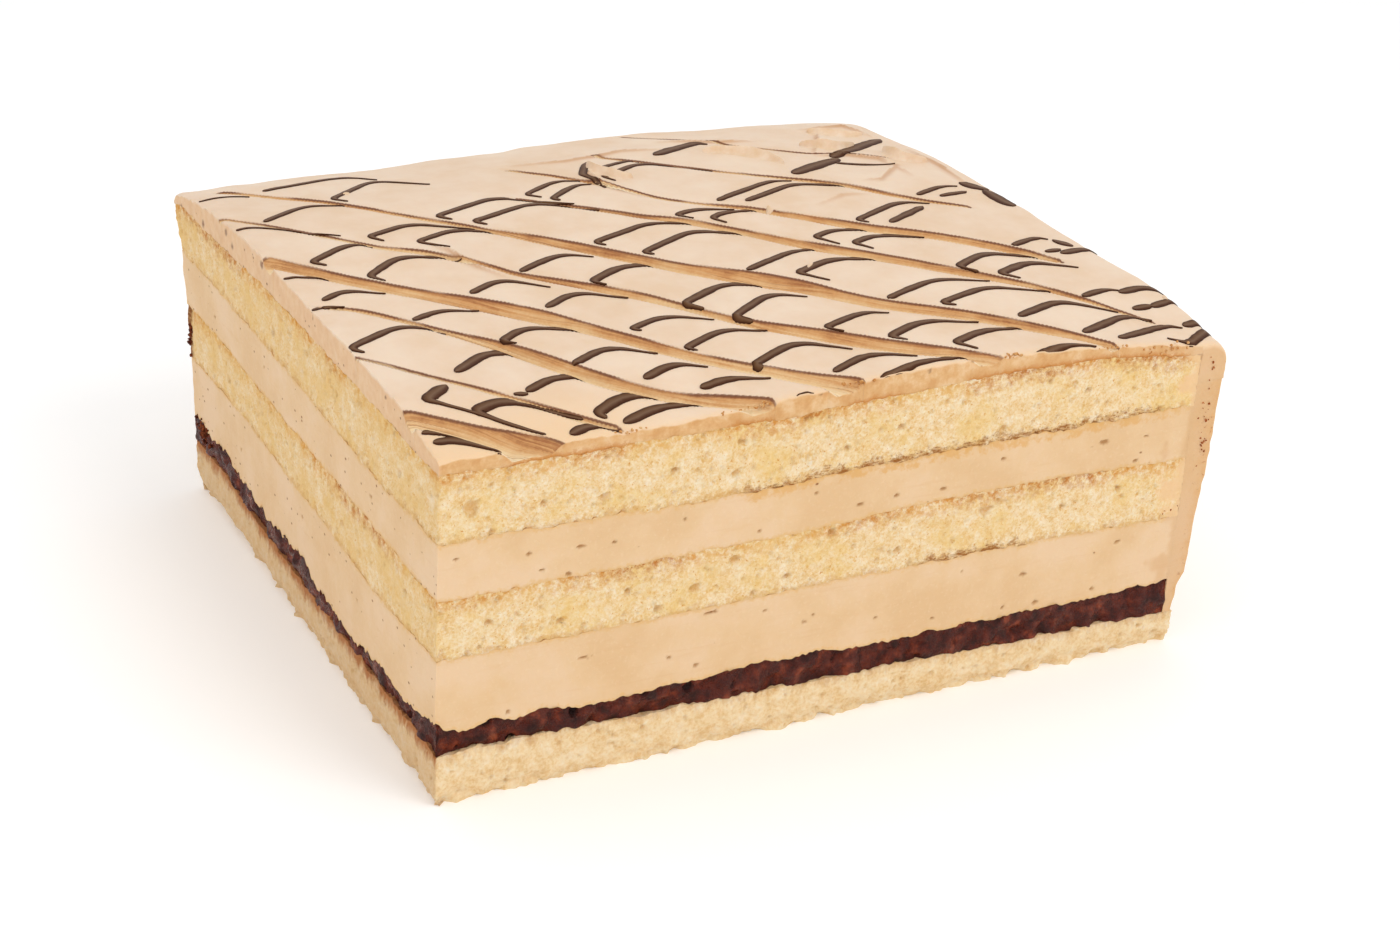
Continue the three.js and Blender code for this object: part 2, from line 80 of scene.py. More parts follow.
# The boundary above each layer: mean height, how far back it reaches, swells (rise, centre, spread)
# along the two cut faces, how unevenly the spatula left it (and the share of that away from the left
# face), and lobes that only show at the faces.
BOUNDARIES = {
    "base_top": dict(height=12.2, back=169.5, wobble=0.7,
                     along_x=[(1.2, 0, 60), (-2.9, 200, 90)], along_y=[(2, 150, 32)]),
    "filling_top": dict(height=18, back=170.5, wobble=1.9, calm=0.45,
                        along_x=[(0.9, 75, 30)], along_y=[(3.6, 146, 18), (-1.7, 55, 28)],
                        lobes_x=[(1.7, 14, 4), (2, 25, 5), (0.6, 78, 5), (0.9, 95, 6)],
                        lobes_y=[(3.2, 0, 9), (-0.8, 54, 8), (2.4, 87, 9), (0.8, 108, 8), (2.4, 168, 8)]),
    "cream_top": dict(height=37.2, back=171.5, wobble=0.55,
                      along_x=[(-1, 195, 30)], along_y=[(-1.8, 35, 25), (1.3, 130, 25)]),
    "sponge_top": dict(height=51.4, back=174, wobble=0.6,
                       along_x=[(2, 140, 45)], along_y=[(1, 145, 20)]),
    "middle_top": dict(height=65.3, back=177.3, wobble=0.75,
                       along_x=[(-1.1, 66, 20), (0.8, 165, 40)], along_y=[(-1.2, 40, 40)]),
    "stack_top": dict(height=81, back=182, wobble=0.6,
                      along_x=[(1.9, 150, 45)], along_y=[(-2.9, 170, 45)]),
}
LOBE_REACH = 5
RIGHT_FALL = dict(drop=7, start=125, power=1.6, far_share=0.48, eased_at=34)
BACK_FALL = dict(drop=9, start=105, power=2.2, far_share=0.72, eased_at=170)
NEAR_DIP = dict(drop=3.8, spread=15, fade_from=50, fade_to=120)

# The coat's outer side: [height, length, depth].
COAT = np.array([
    (10, 197.6, 168.5), (17.2, 198.4, 170.5), (20.4, 200.4, 171), (33, 200.6, 173),
    (47, 201.4, 175), (60, 202.2, 178.5), (73, 202.6, 181.5), (77, 203, 183),
])
COAT_SEAM = 72  # below this height the coat is a piece of its own
SHOULDER_WIDTH = 3.6
SHOULDER_DROP = 4.5
LIP_DROP = 3

# Each comb stroke as knots of (along, across, width), where across = x + y counts from stroke to stroke
# and along = x - y runs with them.
STROKES = [
    [(-20, 16, 5.5), (0, 18.5, 6), (17, 20.5, 9.5), (30, 21, 10)],
    [(-48, 47.7, 1), (-18, 43.5, 1.3), (8, 42.3, 1.8), (38, 42.8, 2.5)],
    [(-75, 80, 1), (-62, 82.3, 2), (-33, 77.5, 2.4), (-3, 72, 5.9), (12, 67.8, 6.3), (26, 65.2, 5.6),
     (39, 65.5, 4.4), (51, 68, 4.5), (63, 72, 5.7), (76, 75.7, 5.7)],
    [(-108, 107.8, 5.8), (-79, 104, 5.2), (-50, 103.4, 5.6), (-22, 102.8, 7.9), (-8, 101.3, 7.8),
     (7, 99, 6.1), (36, 94.3, 5.3), (50, 93.2, 4.6), (75, 95, 4.8), (99, 96.8, 6.9)],
    [(-144, 143.6, 1.5), (-110, 138.7, 1.3), (-79, 135.8, 2), (-62, 137.8, 3.1), (-42, 135.8, 2.4),
     (-27, 133.6, 2.4), (2, 133.3, 4.6), (16, 132.8, 4.5), (30, 130.5, 3.7), (45, 127.6, 3.9),
     (60, 126, 5), (86, 126.8, 6.7), (112, 129.6, 6.7), (137, 134.5, 4.3)],
    [(-162, 180.7, 2.5), (-120, 175.3, 2.6), (-87, 170, 2.1), (-55, 167.6, 2.6), (-25, 166.2, 5.6),
     (5, 164, 6.1), (20, 163, 6.3), (48, 164.4, 8.9), (62, 164.6, 8.2), (78, 162.2, 6.4),
     (92, 161.6, 6.2), (117, 164.7, 5.9), (144, 167.1, 5.6), (167, 169.3, 3.5)],
    [(-55, 204.1, 1.6), (-9, 204.9, 2.8), (6, 206.6, 4.1), (21, 206, 4), (51, 203.5, 5.4),
     (66, 203.4, 6.1), (109, 204, 4.9), (137, 204.5, 3.5), (176, 200.5, 1)],
    [(-72, 239.5, 1.6), (-42, 234.4, 2.2), (-22, 228, 2), (-8, 226.4, 1.5), (7, 227.5, 1.6),
     (21, 229.6, 2.9), (51, 230.9, 5.2), (70, 232, 6), (94, 236.6, 5.4), (123, 237.8, 5.2),
     (136, 236, 3)],
    [(-49, 268.6, 1.6), (-14, 266, 1.8), (17, 268.3, 1.8), (47, 273.2, 3.4), (78, 273.2, 2.5),
     (95, 276, 1.5)],
    [(-50, 306, 0.7), (22, 308, 1.5), (42, 315.5, 1.8), (54, 317, 0.8)],
]
LEAST_GROOVE = 0.7  # a stroke is never narrower
LIFT = 8  # a stroke fades over this length before its first and after its last knot

# The chocolate lines as the comb left them, in millimetres: width, then the places of the end of the
# hook, the tip, the bend and the end of the tail. A line without a hook or a tail has None there.
BARS = [
    (2, None, (18.5, 166), (43, 171.5), (49, 163.5)),
    (2.2, (32.5, 143), (31, 148.5), (47.5, 163), (59, 151.5)),
    (2.2, None, (8.5, 135), (22.5, 144.5), (31.5, 140.5)),
    (2.2, (29.5, 109.5), (28, 114.5), (41.5, 120.5), (54.5, 111)),
    (2.2, (43, 100), (38, 107.5), (50, 113), (59.5, 107)),
    (2.4, (51, 118.5), (49.5, 123.5), (69.5, 132.5), (86, 120.5)),
    (2.4, (58.5, 113), (56.5, 116.5), (76.5, 125), (90.5, 115)),
    (2.4, (11.5, 99.5), (9.5, 103.5), (22, 111.5), (27, 109)),
    (2.5, (21, 86), (19, 90.5), (30.5, 100), (44, 94)),
    (1, None, (0.5, 162.5), (7.5, 165.5), (13.5, 161.5)),
    (1.1, None, (0, 131), (4.5, 132), (22, 117.5)),
    (1.1, None, (0, 96), (3.5, 96), (9.5, 91.5)),
    (2, (80, 128), (77.5, 132), (89.5, 140), (95.5, 137.5)),
    (2.2, (83.5, 124), (82.5, 126.5), (92.5, 134.5), (97, 133.5)),
    (2.5, None, (54, 82), (67.5, 89), (74.5, 84.5)),
    (2.3, None, (37.5, 73), (47.5, 79), (56.5, 70)),
    (2.2, None, (4, 80.5), (11, 84.5), (19, 79.5)),
    (1.1, None, (0, 76.5), (3, 77.5), (7.5, 75.5)),
    (2.6, (99, 129), (98.5, 142.5), (104.5, 152.5), None),
    (2, None, (104.5, 146), (115, 150.5), (118.5, 149)),
    (2.3, (102, 131.5), (102, 137.5), (117.5, 147), (133, 134)),
    (4, None, (124.5, 152), (141, 160.5), (144, 158)),
    (2.3, None, (122, 110.5), (142.5, 120), (148.5, 118.5)),
    (2.3, None, (129, 108), (148.5, 116.5), (165.5, 109)),
    (2.2, (109, 99.5), (107, 104.5), (114, 106.5), (123, 103)),
    (2.2, (115, 93.5), (114.5, 99.5), (120, 102.5), (131, 99.5)),
    (2.4, (80.5, 90.5), (79, 93.5), (98, 101.5), (109.5, 96)),
    (2.5, (89.5, 81.5), (87.5, 83.5), (106, 93), (119, 85)),
    (2.8, (69, 66.5), (67.5, 70.5), (79.5, 77.5), (89, 73)),
    (4.6, None, (152, 124), (172, 134), None),
    (4.4, None, (171, 136), (196, 151.5), None),
    (1.6, None, (169, 130.5), (176.5, 127), (184, 124)),
    (2.3, (135, 71), (133, 79), (141, 82.5), (149, 79.5)),
    (2.4, (141.5, 65.5), (140.5, 72.5), (150, 76.5), (160.5, 71)),
    (2.4, None, (106, 64.5), (123.5, 72.5), (129.5, 71)),
    (2.8, (120, 50), (117, 59), (130, 64.5), (142, 59.5)),
    (2.3, (152.5, 85), (150.5, 87.5), (169, 97), (176.5, 94)),
    (2.6, None, (158, 83.5), (173, 92), None),
    (2, None, (177, 101), (186.5, 105), (191.5, 104)),
    (2, None, (182.5, 98.5), (191.5, 99.5), None),
    (4.6, None, (194, 107), (199, 100), None),
    (5, None, (197.5, 100), (198.5, 87), None),
    (2.5, (1.5, 48), (0, 52), (15, 60.5), (23.5, 54)),
    (2.2, None, (19, 62.5), (27.5, 66), (35, 62)),
    (2.6, (36, 42.5), (33, 44.5), (41.5, 50), (52, 43.5)),
    (2.5, None, (50.5, 59), (60.5, 65.5), (71, 58)),
    (3.2, None, (17, 32.5), (28.5, 40.5), (36.5, 33.5)),
    (3.4, (25.5, 3.5), (6, 22), (12.5, 27), None),
    (3.2, (25.5, 3.5), (14, 15), (22.5, 18), (36, 7.5)),
    (1.5, None, (25, 19.5), (28, 18.5), None),
    (2.6, None, (28, 19.5), (38, 24), (46.5, 17.5)),
    (2.6, None, (43, 28), (54, 33.5), (63, 26.5)),
    (3.2, (40, 5), (39.5, 8), (48, 12.5), (55, 9.5)),
    (3, None, (43.5, 3), (54, 7), (63.5, 4.5)),
    (3, None, (30.5, 2), (36, 4.5), (42, 1.5)),
    (2.6, None, (1.5, 7), (6.5, 7), (14.5, -1)),
    (1.2, None, (0.5, 11), (2.5, 10.5), (9, 6)),
    (2.3, (65.5, 39.5), (63.5, 41), (74, 46), (84, 39.5)),
    (2.4, (72.5, 25.5), (70.5, 27.5), (83.5, 34), (92.5, 29.5)),
    (2.7, (83.5, 45), (82, 51), (97, 59), (104.5, 54)),
    (2.7, (92, 36), (89.5, 40), (104, 49.5), (111.5, 44.5)),
    (2.4, (108.5, 22.5), (106, 26.5), (119.5, 32), (125, 29.5)),
    (2.7, (120.5, 14), (118, 17.5), (130.5, 23), (142.5, 18)),
    (2.7, (133, 4), (130.5, 9.5), (141.5, 14), (153, 12)),
    (2.6, (83.5, 14.5), (81.5, 15.5), (96, 22), (106, 14)),
    (2.6, None, (55, 17), (64.5, 21.5), (71, 17.5)),
    (2.5, None, (65.5, 10.5), (74, 12), (82, 8.5)),
    (2.5, None, (96.5, 6), (109, 11), (118, 5.5)),
    (2.6, None, (104.5, -1), (118.5, 3), (128.5, 1)),
    (1.8, None, (83.5, -0.5), (88, -0.5), (91.5, -2)),
    (2.8, (159.5, 45), (158, 51), (171, 58.5), (184, 51.5)),
    (3, (168.5, 39.5), (166, 44.5), (179, 50.5), (188.5, 43)),
    (2.4, None, (129.5, 37.5), (147.5, 45), (160, 40)),
    (2.5, (143.5, 29), (140.5, 31), (157, 37), (171.5, 30.5)),
    (2.7, None, (154.5, 19), (170.5, 25.5), (182.5, 17.5)),
    (2.6, None, (165.5, 8), (183.5, 16), (189, 12.5)),
    (2.4, None, (181, 61.5), (190.5, 65), (193, 63)),
    (3, None, (194, 62.5), (197, 57.5), None),
    (2.2, None, (187, 55.5), (192, 56), None),
    (3, None, (190.5, 53.5), (199.5, 55.5), (201.5, 53)),
    (2.4, None, (178.5, 27), (187, 29.5), (190, 28)),
    (2.8, None, (189.5, 27), (199.5, 29), (205.5, 18)),
    (2.6, None, (187.5, 18.5), (193.5, 19), None),
    (2.6, None, (193, 18.5), (203, 21), (206, 16.5)),
    (2.6, None, (173, 4), (190.5, 9.5), (194.5, 7.5)),
    (2.8, None, (195.5, 8.5), (204, 11), (204.5, 3)),
    (2.8, (184, 0.5), (191.5, 0.5), (204, 8), (203, 1)),
    (2.6, None, (145, -2), (155.5, 2), (164, 0.5)),
]
TIP_ROUND = 2
BEND_ROUND = 5.5
HOOK_SHARE = 0.3
HOOK_FADE = 1.4
TAIL_SHARE = 0.2
TAIL_POWER = 1.2
LONG_HOOK = 12  # longer hooks keep their measured way; shorter ones follow the groove beside them
HOOK_SLANT = 0.35

# ---- Small helpers -----------------------------------------------------------------------------------


def srgb(code):
    """A hex colour as the linear values that shaders use."""
    parts = [int(code[i:i + 2], 16) / 255 for i in (1, 3, 5)]
    linear = [p / 12.92 if p <= 0.04045 else ((p + 0.055) / 1.055) ** 2.4 for p in parts]
    return (*linear, 1)


def smoothstep(value, low, high):
    share = np.clip((value - low) / (high - low), 0, 1)
    return share * share * (3 - 2 * share)


def bell(at, centre, spread):
    return np.exp(-(((at - centre) / spread) ** 2))


def lerp(low, high, share):
    return low + (high - low) * share


# Large odd numbers that spread whole numbers over a word of 32 bits, for each axis, seed and round.
PRIMES = np.array([73856093, 19349663, 83492791])
SEED_STEP = 2654435761
MIXER = 1274126177
WORD = 0xFFFFFFFF


def draw(cell, seed):
    """A repeatable number from 0 to 1 for each cell of whole numbers."""
    mixed = (cell * PRIMES[:cell.shape[-1]]).sum(-1) + seed * SEED_STEP
    mixed = ((mixed ^ (mixed >> 15)) * MIXER) & WORD
    mixed = ((mixed ^ (mixed >> 13)) * MIXER) & WORD
    return ((mixed ^ (mixed >> 16)) & 0xFFFF) / 0xFFFF


def noise(places, size, seed=0):
    """Smooth noise from -1 to 1 with lumps of about this size."""
    scaled = places / size
    cell = np.floor(scaled).astype(np.int64)
    part = scaled - cell
    part = part * part * (3 - 2 * part)
    total = 0
    for corner in itertools.product((0, 1), repeat=places.shape[-1]):
        weight = np.prod(np.where(corner, part, 1 - part), axis=-1)
        total = total + weight * draw(cell + np.array(corner), seed)
    return 2 * total - 1


def uneven(places, seed, *lumps):
    """Noise of several sizes at once, each given by its height and size, with a seed of its own."""
    return sum(height * noise(places, size, seed + i) for i, (height, size) in enumerate(lumps))


def bubbles(places, size, share, radii, seed=0):
    """How deep each place is in the nearest of scattered bubbles, in millimetres: one in that
    share of cells of that size, with a radius between radii."""
    cell = np.floor(places / size).astype(np.int64)
    depth = np.zeros(places.shape[:-1])
    for corner in itertools.product((-1, 0, 1), repeat=3):
        near = cell + np.array(corner)
        middle = (near + np.stack([draw(near, seed + axis) for axis in range(3)], -1)) * size
        radius = lerp(*radii, draw(near, seed + 3) ** 2)
        inside = np.maximum(radius ** 2 - ((places - middle) ** 2).sum(-1), 0)
        depth = np.maximum(depth, np.sqrt(inside) * (draw(near, seed + 4) < share))
    return depth


def through(knots, at):
    """A smooth value through knots (place, value), level beyond both ends."""
    place, value = np.array(knots, float).T
    slope = np.empty(len(place))
    slope[1:-1] = (value[2:] - value[:-2]) / (place[2:] - place[:-2])
    slope[0] = (value[1] - value[0]) / (place[1] - place[0])
    slope[-1] = (value[-1] - value[-2]) / (place[-1] - place[-2])
    at = np.clip(at, place[0], place[-1])
    i = np.clip(np.searchsorted(place, at, side="right") - 1, 0, len(place) - 2)
    span = place[i + 1] - place[i]
    t = (at - place[i]) / span
    return (
        value[i] * (1 + 2 * t) * (1 - t) ** 2 + slope[i] * span * t * (1 - t) ** 2
        + value[i + 1] * t * t * (3 - 2 * t) + slope[i + 1] * span * t * t * (t - 1)
    )


# ---- Heights -----------------------------------------------------------------------------------------


def fall(at, end, beyond, drop, start, power, far_share, eased_at):
    share = lerp(1, far_share, smoothstep(beyond, 0, eased_at))
    return share * drop * (np.maximum(at - start, 0) / (end - start)) ** power


def dome(x, y):
    """The cream top before grooves and chocolate."""
    dip = NEAR_DIP["drop"] * bell(y, 0, NEAR_DIP["spread"])
    dip_share = 1 - smoothstep(x, NEAR_DIP["fade_from"], NEAR_DIP["fade_to"])
    right = fall(x, TOP_LENGTH, y, **RIGHT_FALL)
    back = fall(y, TOP_DEPTH, x, **BACK_FALL)
    return TOP_HEIGHT - right - back - dip * dip_share


def boundary(name, x, y):
    """The height of a boundary between layers, with the uneven line that both neighbours share."""
    spec = BOUNDARIES[name]
    z = spec["height"] + np.zeros(np.shape(x))
    for rise, centre, spread in spec["along_x"]:
        z = z + rise * bell(x, centre, spread) * (1 - y / TOP_DEPTH)
    for rise, centre, spread in spec["along_y"]:
        z = z + rise * bell(y, centre, spread) * (1 - x / TOP_LENGTH)
    for rise, centre, spread in spec.get("lobes_x", []):
        z = z + rise * bell(x, centre, spread) * np.exp(-y / LOBE_REACH)
    for rise, centre, spread in spec.get("lobes_y", []):
        z = z + rise * bell(y, centre, spread) * np.exp(-x / LOBE_REACH)
    if name == "stack_top":
        z = np.minimum(z, dome(x, y) - LEAST_TOP_CREAM)
    flat = np.stack([x, y], -1)
    seed = list(BOUNDARIES).index(name) * 10
    share = lerp(spec.get("calm", 1), 1, np.exp(-x / LOBE_REACH))
    return z + spec["wobble"] * share * uneven(flat, seed, (0.45, 5), (0.35, 2), (0.35, 0.9))


# ---- Meshes ------------------------------------------------------------------------------------------


def deselect():
    if bpy.context.object and bpy.context.object.mode != "OBJECT":
        bpy.ops.object.mode_set(mode="OBJECT")
    bpy.ops.object.select_all(action="DESELECT")


def make_active(piece):
    deselect()
    piece.select_set(True)
    bpy.context.view_layer.objects.active = piece


def coordinates(piece):
    flat = np.empty(len(piece.data.vertices) * 3, np.float32)
    piece.data.vertices.foreach_get("co", flat)
    return flat.reshape(-1, 3).astype(float)


def set_places(piece, places):
    """Puts the vertices at places in millimetres from the near corner."""
    metres = ((places + SHIFT) * MM).astype(np.float32)
    piece.data.vertices.foreach_set("co", metres.ravel())
    piece.data.update()


def store(piece, name, values):
    """Keeps one number for each vertex, for the material."""
    attribute = piece.data.attributes.new(name, "FLOAT", "POINT")
    attribute.data.foreach_set("value", np.asarray(values, np.float32).ravel())


def add_grid(name, columns, rows):
    """A grid of that many cells, and the column and row of each of its vertices."""
    deselect()
    bpy.ops.mesh.primitive_grid_add(x_subdivisions=columns, y_subdivisions=rows, size=2)
    piece = bpy.context.object
    piece.name = piece.data.name = name
    start = (coordinates(piece) + 1) / 2
    return piece, np.rint(start[:, 0] * columns).astype(int), np.rint(start[:, 1] * rows).astype(int)


def roll_up(name, rings, **values):
    """A wall through stacked rings, joined where its first and last column meet. The values are
    kept for the material, one for each point of the rings."""
    rows, columns = rings.shape[0] - 1, rings.shape[1]
    piece, column, row = add_grid(name, columns, rows)
    column = column % columns
    set_places(piece, rings[row, column])
    for key, value in values.items():
        store(piece, key, np.broadcast_to(value, rings.shape[:2])[row, column])
    make_active(piece)
    bpy.ops.object.mode_set(mode="EDIT")
    bpy.ops.mesh.select_all(action="SELECT")
    bpy.ops.mesh.remove_doubles(threshold=1e-7)
    bpy.ops.object.mode_set(mode="OBJECT")
    return piece


def roughen(piece, size, depth, **settings):
    """Pushes the surface in and out by clouds of grains of this size, in millimetres."""
    texture = bpy.data.textures.new(piece.name + "_clouds", "CLOUDS")
    texture.noise_scale = size * MM
    for key, value in settings.items():
        setattr(texture, key, value)
    make_active(piece)
    displace = piece.modifiers.new("Roughen", "DISPLACE")
    displace.texture = texture
    displace.texture_coords = "LOCAL"
    displace.strength = depth * MM
    displace.mid_level = 0.5
    bpy.ops.object.modifier_apply(modifier=displace.name)
    bpy.data.textures.remove(texture)


def close_ends(piece):
    """Fills a wall's open ends with fans round a middle point, and turns all faces outwards."""
    make_active(piece)
    bpy.ops.object.mode_set(mode="EDIT")
    bpy.ops.mesh.select_mode(type="VERT")
    bpy.ops.mesh.select_all(action="SELECT")
    bpy.ops.mesh.fill_holes(sides=0)
    bpy.ops.mesh.select_mode(type="FACE")
    bpy.ops.mesh.select_all(action="DESELECT")
    bpy.ops.mesh.select_face_by_sides(number=4, type="GREATER", extend=False)
    bpy.ops.mesh.poke()
    bpy.ops.mesh.select_all(action="SELECT")
    bpy.ops.mesh.normals_make_consistent(inside=False)
    bpy.ops.object.mode_set(mode="OBJECT")


def finish_piece(piece, material, node_name, angle=60):
    make_active(piece)
    bpy.ops.object.shade_smooth_by_angle(angle=math.radians(angle))
    piece.data.materials.clear()
    piece.data.materials.append(material)
    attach(piece, BODY)
    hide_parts(node_name)


# ---- The layers' rims --------------------------------------------------------------------------------

# Steps round a layer: along the right cut face, the hidden side behind the coat, the corner, the
# back and the left cut face. About half a millimetre each on the cut faces.
RIM_STEPS = dict(right_face=430, coat_side=16, corner=6, back=230, left_face=400)


def outline(length, depth, corner=INNER_CORNER):
    """Points round a layer, counterclockwise from the near corner: places, ways out, cut or not."""
    def straight(count, start, end, out, cut):
        share = np.arange(count)[:, None] / count
        places = lerp(np.array(start, float), np.array(end, float), share)
        return places, np.tile(np.array(out, float), (count, 1)), np.full(count, cut)

    angle = np.arange(RIM_STEPS["corner"]) / RIM_STEPS["corner"] * math.pi / 2
    way = np.stack([np.cos(angle), np.sin(angle)], -1)
    bend = (np.array([length - corner, depth - corner]) + corner * way, way, np.full(len(angle), False))
    runs = [
        straight(RIM_STEPS["right_face"], (0, 0), (length, 0), (0, -1), True),
        straight(RIM_STEPS["coat_side"], (length, 0), (length, depth - corner), (1, 0), False),
        bend,
        straight(RIM_STEPS["back"], (length - corner, depth), (0, depth), (0, 1), False),
        straight(RIM_STEPS["left_face"], (0, depth), (0, 0), (-1, 0), True),
    ]
    places, out, cut = (np.concatenate(parts) for parts in zip(*runs))
    out[0] = -1, -1
    out[RIM_STEPS["right_face"]] = 0, -1
    cut[RIM_STEPS["right_face"]] = True
    return places, out, cut


def layer_rings(below, above, rows, bulge):
    """The wall of a layer between two boundaries, before its own roughness. Returns the points,
    the ways out, which of them are cut, and how far each is above and below the boundaries."""
    low, out, cut = outline(FILLED_LENGTH, BOUNDARIES[below]["back"])
    high = outline(FILLED_LENGTH, BOUNDARIES[above]["back"])[0]
    low_z, high_z = boundary(below, *low.T), boundary(above, *high.T)
    share = np.linspace(0, 1, rows + 1)[:, None]
    flat = lerp(low, high, share[:, :, None])
    flat[..., 1] += bulge * np.sin(math.pi * share) * np.where(cut, 0, out[:, 1])
    z = lerp(low_z, high_z, share)
    rings = np.concatenate([flat, z[..., None]], -1)
    return rings, out, cut, z - low_z, high_z - z


def push(rings, out, amount):
    """Moves a wall's points outwards by an amount for each."""
    rings = rings.copy()
    rings[..., :2] += out * amount[..., None]
    return rings


# ---- Materials ---------------------------------------------------------------------------------------

# The nodes that the materials are laid from: type, inputs with their usual values in the order in
# which they are given, fixed settings, and the output that goes on (all of them where it is None).
NODES = {
    "attribute": ("Attribute", {}, {}, "Fac"),
    "place": ("TexCoord", {}, {}, "Object"),
    "stretch": ("Mapping", {"Vector": None, "Scale": None}, {}, "Vector"),
    "pair": ("CombineXYZ", {"X": None, "Y": None}, {}, "Vector"),
    "grains": ("TexNoise", {"Vector": None, "Scale": 1, "Detail": 4, "Roughness": 0.65}, {}, "Fac"),
    "cells": ("TexVoronoi", {"Vector": None, "Scale": 1}, {"voronoi_dimensions": "3D"}, None),
    "channels": ("SeparateColor", {"Color": None}, {}, None),
    "part": ("MapRange", {"Value": None, "From Min": None, "From Max": None, "To Max": 1}, {}, "Result"),
    "ramp": ("ValToRGB", {"Fac": None}, {}, "Color"),
    "over": ("Mix", {0: None, 6: None, 7: None}, {"data_type": "RGBA"}, 2),
    "bump": ("Bump", {"Height": None, "Distance": None, "Strength": 1}, {}, "Normal"),
    "shader": ("BsdfPrincipled", {}, {}, "BSDF"),
    "surface": ("OutputMaterial", {"Surface": None}, {}, None),
}
SUMS = dict(multiply=2, add=2, subtract=2, minimum=2, maximum=2, less_than=2, absolute=1, multiply_add=3)
NODES.update({operation: ("Math", dict.fromkeys(range(count)), {"operation": operation.upper()}, 0)
              for operation, count in SUMS.items()})


def node(tree, kind, *values, **settings):
    """Adds one of NODES with its settings and inputs: numbers, hex colours or the sockets to link.
    What follows the inputs are the stops of a ramp."""
    type_name, inputs, fixed, output = NODES[kind]
    made = tree.nodes.new("ShaderNode" + type_name)
    for key, value in {**fixed, **settings}.items():
        setattr(made, key, value)
    for (key, usual), value in itertools.zip_longest(inputs.items(), values[:len(inputs)]):
        value = usual if value is None else value
        if isinstance(value, bpy.types.NodeSocket):
            tree.links.new(value, made.inputs[key])
        else:
            made.inputs[key].default_value = srgb(value) if isinstance(value, str) else value
    for position, colour in values[len(inputs):]:
        made.color_ramp.elements.new(position).color = srgb(colour)
    if kind == "ramp":
        made.color_ramp.elements.remove(made.color_ramp.elements[0])
        made.color_ramp.elements.remove(made.color_ramp.elements[-1])
    return made.outputs if output is None else made.outputs[output]


def new_material(name, **sockets):
    """A material, the function that adds its nodes, its shader, whose even values are set here, and
    the places on it in millimetres."""
    material = bpy.data.materials.new(name)
    material.use_nodes = True
    material.node_tree.nodes.clear()
    add = functools.partial(node, material.node_tree)
    shader = add("shader")
    for key, value in sockets.items():
        shader.node.inputs[key.replace("_", " ")].default_value = value
    add("surface", shader)
    return material, add, shader.node, add("stretch", add("place"), (1 / MM,) * 3)


def finish_shader(add, shader, colour, height, depth, strength=1):
    """Links the colour, and a bump of that many millimetres."""
    shader.id_data.links.new(colour, shader.inputs["Base Color"])
    shader.id_data.links.new(add("bump", height, depth * MM, strength), shader.inputs["Normal"])


# Light goes a millimetre or two into sponge and cream, so that they look soft.
SOFT = dict(Subsurface_Weight=0.1, Subsurface_Radius=(1.0, 0.65, 0.35), Subsurface_Scale=0.002)


def sponge_material():
    """Whisked sponge, sawn open: dry, matte crumb with torn bubbles and golden baked edges."""
    material, add, shader, place = new_material(
        "baked_sponge", Roughness=0.95, Specular_IOR_Level=0.1, **SOFT)
    below, above, sunk, toasted, seared, crusted, smeared, dragged = (
        add("attribute", attribute_name=name) for name in (
            "below", "above", "sunk", "toasted", "seared", "crusted", "smeared", "dragged"))
    # Crumb grains of half a millimetre in pale islands of three, with warmer patches of a centimetre.
    grain = add("grains", place, 1.5, 5.0, 0.75)
    island = add("grains", place, 0.33, 3.0, 0.6)
    patch = add("grains", place, 0.09, 3.0, 0.6)
    fleck = add("grains", place, 0.5, 4.0, 0.7)
    mixed = add("multiply_add", grain, 0.6, add("multiply", island, 0.4))
    crumb = add("ramp", mixed, (0.34, "#e0b170"), (0.42, "#ebc58a"), (0.51, "#f3d7a9"), (0.62, "#fae9cd"))
    warm = add("over", add("part", patch, 0.48, 0.66, 0.55), crumb, "#efc97c")
    spotted = add("over", add("part", fleck, 0.62, 0.68, 0.6), warm, "#e0a954")
    speck = add("grains", place, 1.3, 3.0, 0.6)
    spotted = add("over", add("part", speck, 0.655, 0.7, 0.85), spotted, "#d49239")
    # The baked edges: golden under the layer above, a thin browned line at the bottom.
    waver = add("multiply_add", fleck, 9.0, -4.4)
    depth = add("add", below, waver)
    broad = add("grains", place, 0.045, 2.0, 0.5)
    warmth = add("multiply_add", toasted, 0.25, broad)
    baked = add("ramp", warmth, (0.4, "#e6b364"), (0.62, "#d68f3a"), (0.82, "#bd7029"))
    crumbly = add("grains", place, 0.55, 4.0, 0.75)
    rim = add("multiply", add("part", depth, 4.4, 0.4, 0.9), add("part", crumbly, 0.4, 0.58))
    soft = add("multiply", dragged, add("part", patch, 0.3, 0.6, 0.4))
    spotted = add("over", add("multiply_add", dragged, 0.12, soft), spotted, "#e9c080")
    golden = add("over", rim, spotted, baked)
    height = add("add", above, waver)
    fibre = add("grains", add("stretch", place, (0.5, 0.5, 2.4)), 1.0, 4.0, 0.7)
    thread = add("multiply", add("part", height, 2.2, 0.3), seared)
    lined = add("over", add("part", height, 1.6, 0.2, 0.45), golden, "#d39a54")
    lined = add("over", add("multiply", thread, add("part", fibre, 0.38, 0.56)), lined, "#a06734")
    lined = add("over", add("multiply", crusted, add("part", grain, 0.3, 0.5)), lined, "#85502a")
    # Painted shade in the pores and torn holes, darker the deeper they go.
    pitted = add("over", add("part", sunk, 0.2, 1.1, 0.5), lined, "#d8a35c")
    pitted = add("over", add("multiply", smeared, 0.9), pitted, "#e8c193")
    rough = add("multiply", add("grains", place, 2.6, 4.0, 0.7), add("subtract", 1.0, smeared))
    finish_shader(add, shader, pitted, rough, 0.35, 0.8)
    return material


